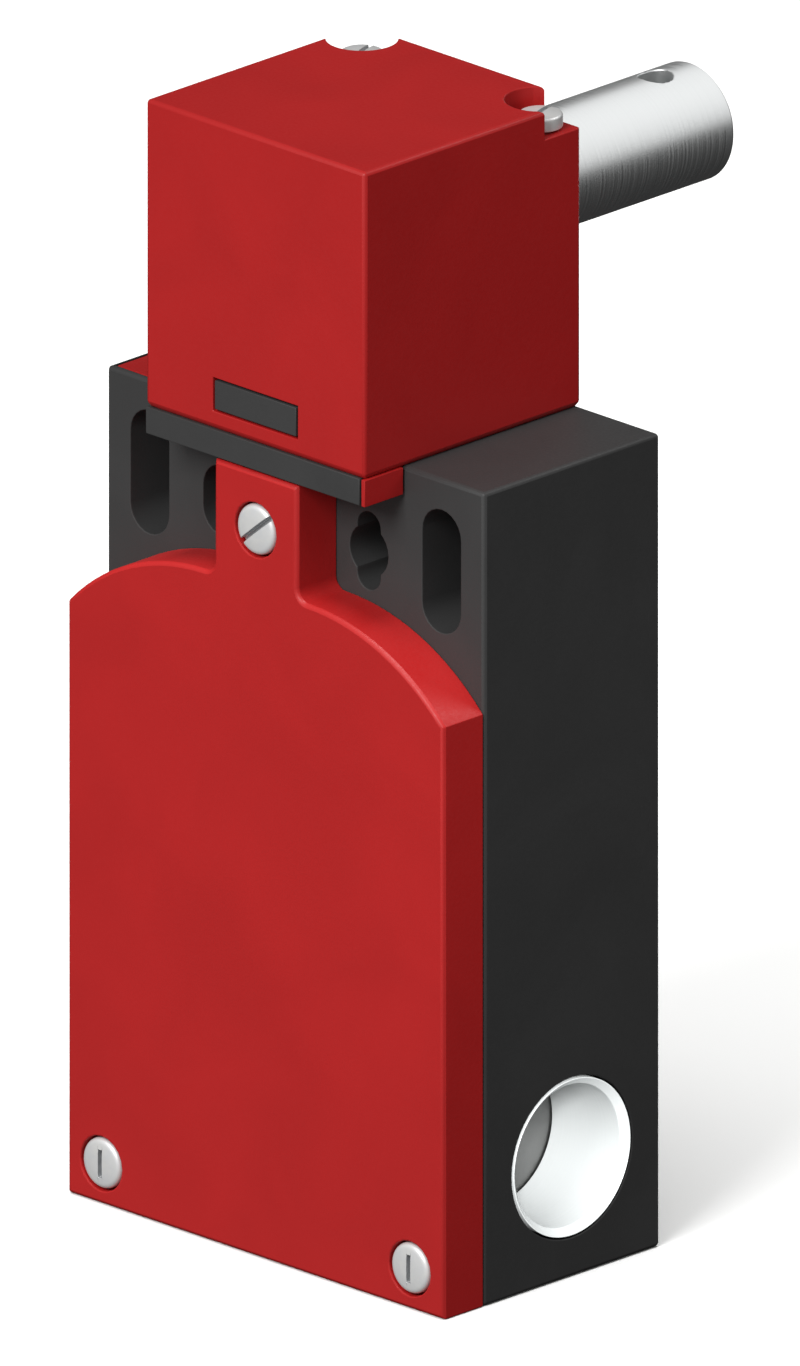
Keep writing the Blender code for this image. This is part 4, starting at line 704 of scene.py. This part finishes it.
# %% [markdown]
# ## Pieces that stay as CAD gave them
#
# The pieces inside have the right shape already: gasket, bushes, cam, plunger, contact block, bridges,
# terminals and their screws. They keep their CAD mesh and get the finish of the real material, chosen by the
# start of each name.

# %% Finishes of the inner pieces
inner_finishes = {
    "cover_gasket": seal_rubber, "plunger_seal": seal_rubber, "front_bush": bush_brass,
    "plunger_guide": guide_brass, "thrust_washer": shaft_steel, "cam": shaft_steel, "cam_pin": shaft_steel,
    "plunger": plunger_steel, "contact_base": grey_nylon, "contact_carrier": ivory_nylon,
    "contact_bridge": sheet_brass, "terminal": sheet_brass, "terminal_screw": screw_zinc,
    "block_screw": screw_zinc,
}
finished_nodes = 0
for node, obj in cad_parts.items():
    names = [name for name in inner_finishes if node.startswith(name)]
    if names and obj.type == "MESH":
        finish = inner_finishes[max(names, key=len)]
        for material_slot in obj.material_slots:
            material_slot.material = finish
        finished_nodes += 1
print("inner nodes with a finish:", finished_nodes)

# %% [markdown]
# ## Studio
#
# The switch stands on a matt white board, wide enough to fill the picture. The board is hidden from bounced
# light and from reflections, so it neither lights the switch nor shows in its metal: a white floor would
# light the underside as much as the top. It lies a hair below the switch, so that the two don't share a
# plane.

# %% Floor
BOARD = 3.0
BOARD_DROP = 0.05 * MM
HAZE_PER_METRE = 6.0


def matt_board():
    """Painted board: white, matt, with a very faint unevenness."""
    made, tree, shader, place = start_finish("board, painted white", roughness=0.8)
    haze = add(tree, "ShaderNodeTexNoise", {"Vector": place, "Scale": HAZE_PER_METRE,
                                            "Detail": 2.0}).outputs["Fac"]
    colour = add(tree, "ShaderNodeMix", {FACTOR: haze, COLOUR_A: linear("#F7F7F6"),
                                         COLOUR_B: linear("#F9F9F8")}, data_type="RGBA")
    tree.links.new(colour.outputs[COLOUR_OUT], shader.inputs["Base Color"])
    return made


bm = bmesh.new()
bmesh.ops.create_grid(bm, x_segments=8, y_segments=8, size=BOARD)
bmesh.ops.translate(bm, verts=bm.verts, vec=(0.0, 0.0, -BOARD_DROP))
floor = link_piece("floor", bm, matt_board())
floor.visible_diffuse = False
floor.visible_glossy = False
print("floor side:", 2 * BOARD, "m")

# %% [markdown]
# In the reference, edges that are parallel on the object stay parallel, so the camera is orthographic. It
# looks from 45 degrees to the right of the front and 20 degrees above. The scale and the direction were
# fitted to the reference's straight edges. Such a camera shows the same picture from any distance, so it only
# has to stand outside the object.

# %% Camera
PICTURE_WIDTH = 800
PIXELS_PER_MM = 10.23
CAMERA_DISTANCE = 1.0
TARGET = Vector((0.0, 2.29, 54.48)) * MM
TOWARDS_CAMERA = Vector((0.664, -0.6685, 0.344)).normalized()
camera_data = bpy.data.cameras.new("camera")
camera_data.type = "ORTHO"
camera_data.sensor_fit = "HORIZONTAL"
camera_data.ortho_scale = PICTURE_WIDTH / PIXELS_PER_MM * MM
camera = bpy.data.objects.new("camera", camera_data)
camera.location = TARGET + TOWARDS_CAMERA * CAMERA_DISTANCE
camera.rotation_euler = (-TOWARDS_CAMERA).to_track_quat("-Z", "Y").to_euler()
bpy.context.scene.collection.objects.link(camera)
bpy.context.scene.camera = camera
print("picture width:", round(camera_data.ortho_scale / MM, 1), "mm")

# %% [markdown]
# In the reference the front and the top are lit fully, and the right side gets less than half. So the main
# soft light stands high in front, a little to the right. A weak one high behind lifts the tops of the
# mouldings and the head's screws, one above brings out the cover's arc, and another behind keeps the backs of
# the mouldings readable. Bright metal shows what stands round it rather than what falls on it, so the shaft
# has a wide screen of its own above and behind. A small lamp looks into the cable entry and lights only its
# bush, and the disc at the bottom gets mostly what the bush throws back. The board has a lamp of its own, so
# that it is white without bleaching the switch.
#
# A light is given by its direction from the switch, its distance and side in metres, its power in watts, and
# the pieces that it lights, which are all if none is named.

# %% Lights


def soft_light(name, direction, distance, size, power, *lit):
    """A square soft light that looks at the switch from a direction, and lights only some pieces if told."""
    data = bpy.data.lights.new(name, "AREA")
    data.size = size
    data.energy = power
    light = bpy.data.objects.new(name, data)
    away = Vector(direction).normalized()
    light.location = TARGET + away * distance
    light.rotation_euler = (-away).to_track_quat("-Z", "Y").to_euler()
    bpy.context.scene.collection.objects.link(light)
    if lit:
        light.light_linking.receiver_collection = bpy.data.collections.new("lit_by_" + name)
        for piece in lit:
            light.light_linking.receiver_collection.objects.link(piece)


moulded = (housing, cover, head, seat_plate)
soft_light("main_light", (0.17, -0.78, 0.60), 1.2, 0.5, 12.2)
soft_light("back_light", (0.35, 0.62, 0.70), 1.0, 0.5, 2.6, *moulded, *head_screws)
soft_light("shaft_screen", (0.17, 0.62, 0.76), 1.0, 2.2, 15.0, shaft)
soft_light("arc_light", (0.0, -0.12, 0.99), 1.2, 0.4, 10.0, cover)
soft_light("entry_light", (0.72, -0.60, 0.36), 0.5, 0.12, 10.8, entry_bush)
soft_light("rear_fill", (-0.28, 0.96, 0.0), 1.2, 0.6, 3.6, *moulded)
soft_light("board_light", (0.0, 0.0, 1.0), 2.0, 2.0, 42.0, floor)

# %% [markdown]
# The room is a plain glow, brightest high in front and nearly dark below and behind, as a studio is. Only the
# camera sees it as a pale backdrop.

# %% Room
BRIGHT_SIDE = (0.22, -0.70, 0.68)
GLOW_SPAN = {"From Min": -0.3, "From Max": 1.0}
DARK_GLOW, BRIGHT_GLOW, BACKDROP = 0.03, 0.60, 0.95
VALUE_A, VALUE_B, VALUE_OUT = 2, 3, 0
world = bpy.data.worlds.new("room")
world.use_nodes = True
tree = world.node_tree
direction = tree.nodes.new("ShaderNodeTexCoord").outputs["Generated"]
facing = add(tree, "ShaderNodeVectorMath", {0: direction, 1: BRIGHT_SIDE}, operation="DOT_PRODUCT")
glow = add(tree, "ShaderNodeMapRange", {"Value": facing.outputs["Value"], **GLOW_SPAN,
                                        "To Min": DARK_GLOW, "To Max": BRIGHT_GLOW})
seen = tree.nodes.new("ShaderNodeLightPath").outputs["Is Camera Ray"]
strength = add(tree, "ShaderNodeMix", {FACTOR: seen, VALUE_A: glow.outputs["Result"], VALUE_B: BACKDROP})
tree.links.new(strength.outputs[VALUE_OUT], tree.nodes["Background"].inputs["Strength"])
tree.nodes["Background"].inputs["Color"].default_value = linear("#FFFFFF")
bpy.context.scene.world = world
bpy.context.scene.view_settings.view_transform = "Standard"
print("room glow from", DARK_GLOW, "to", BRIGHT_GLOW)
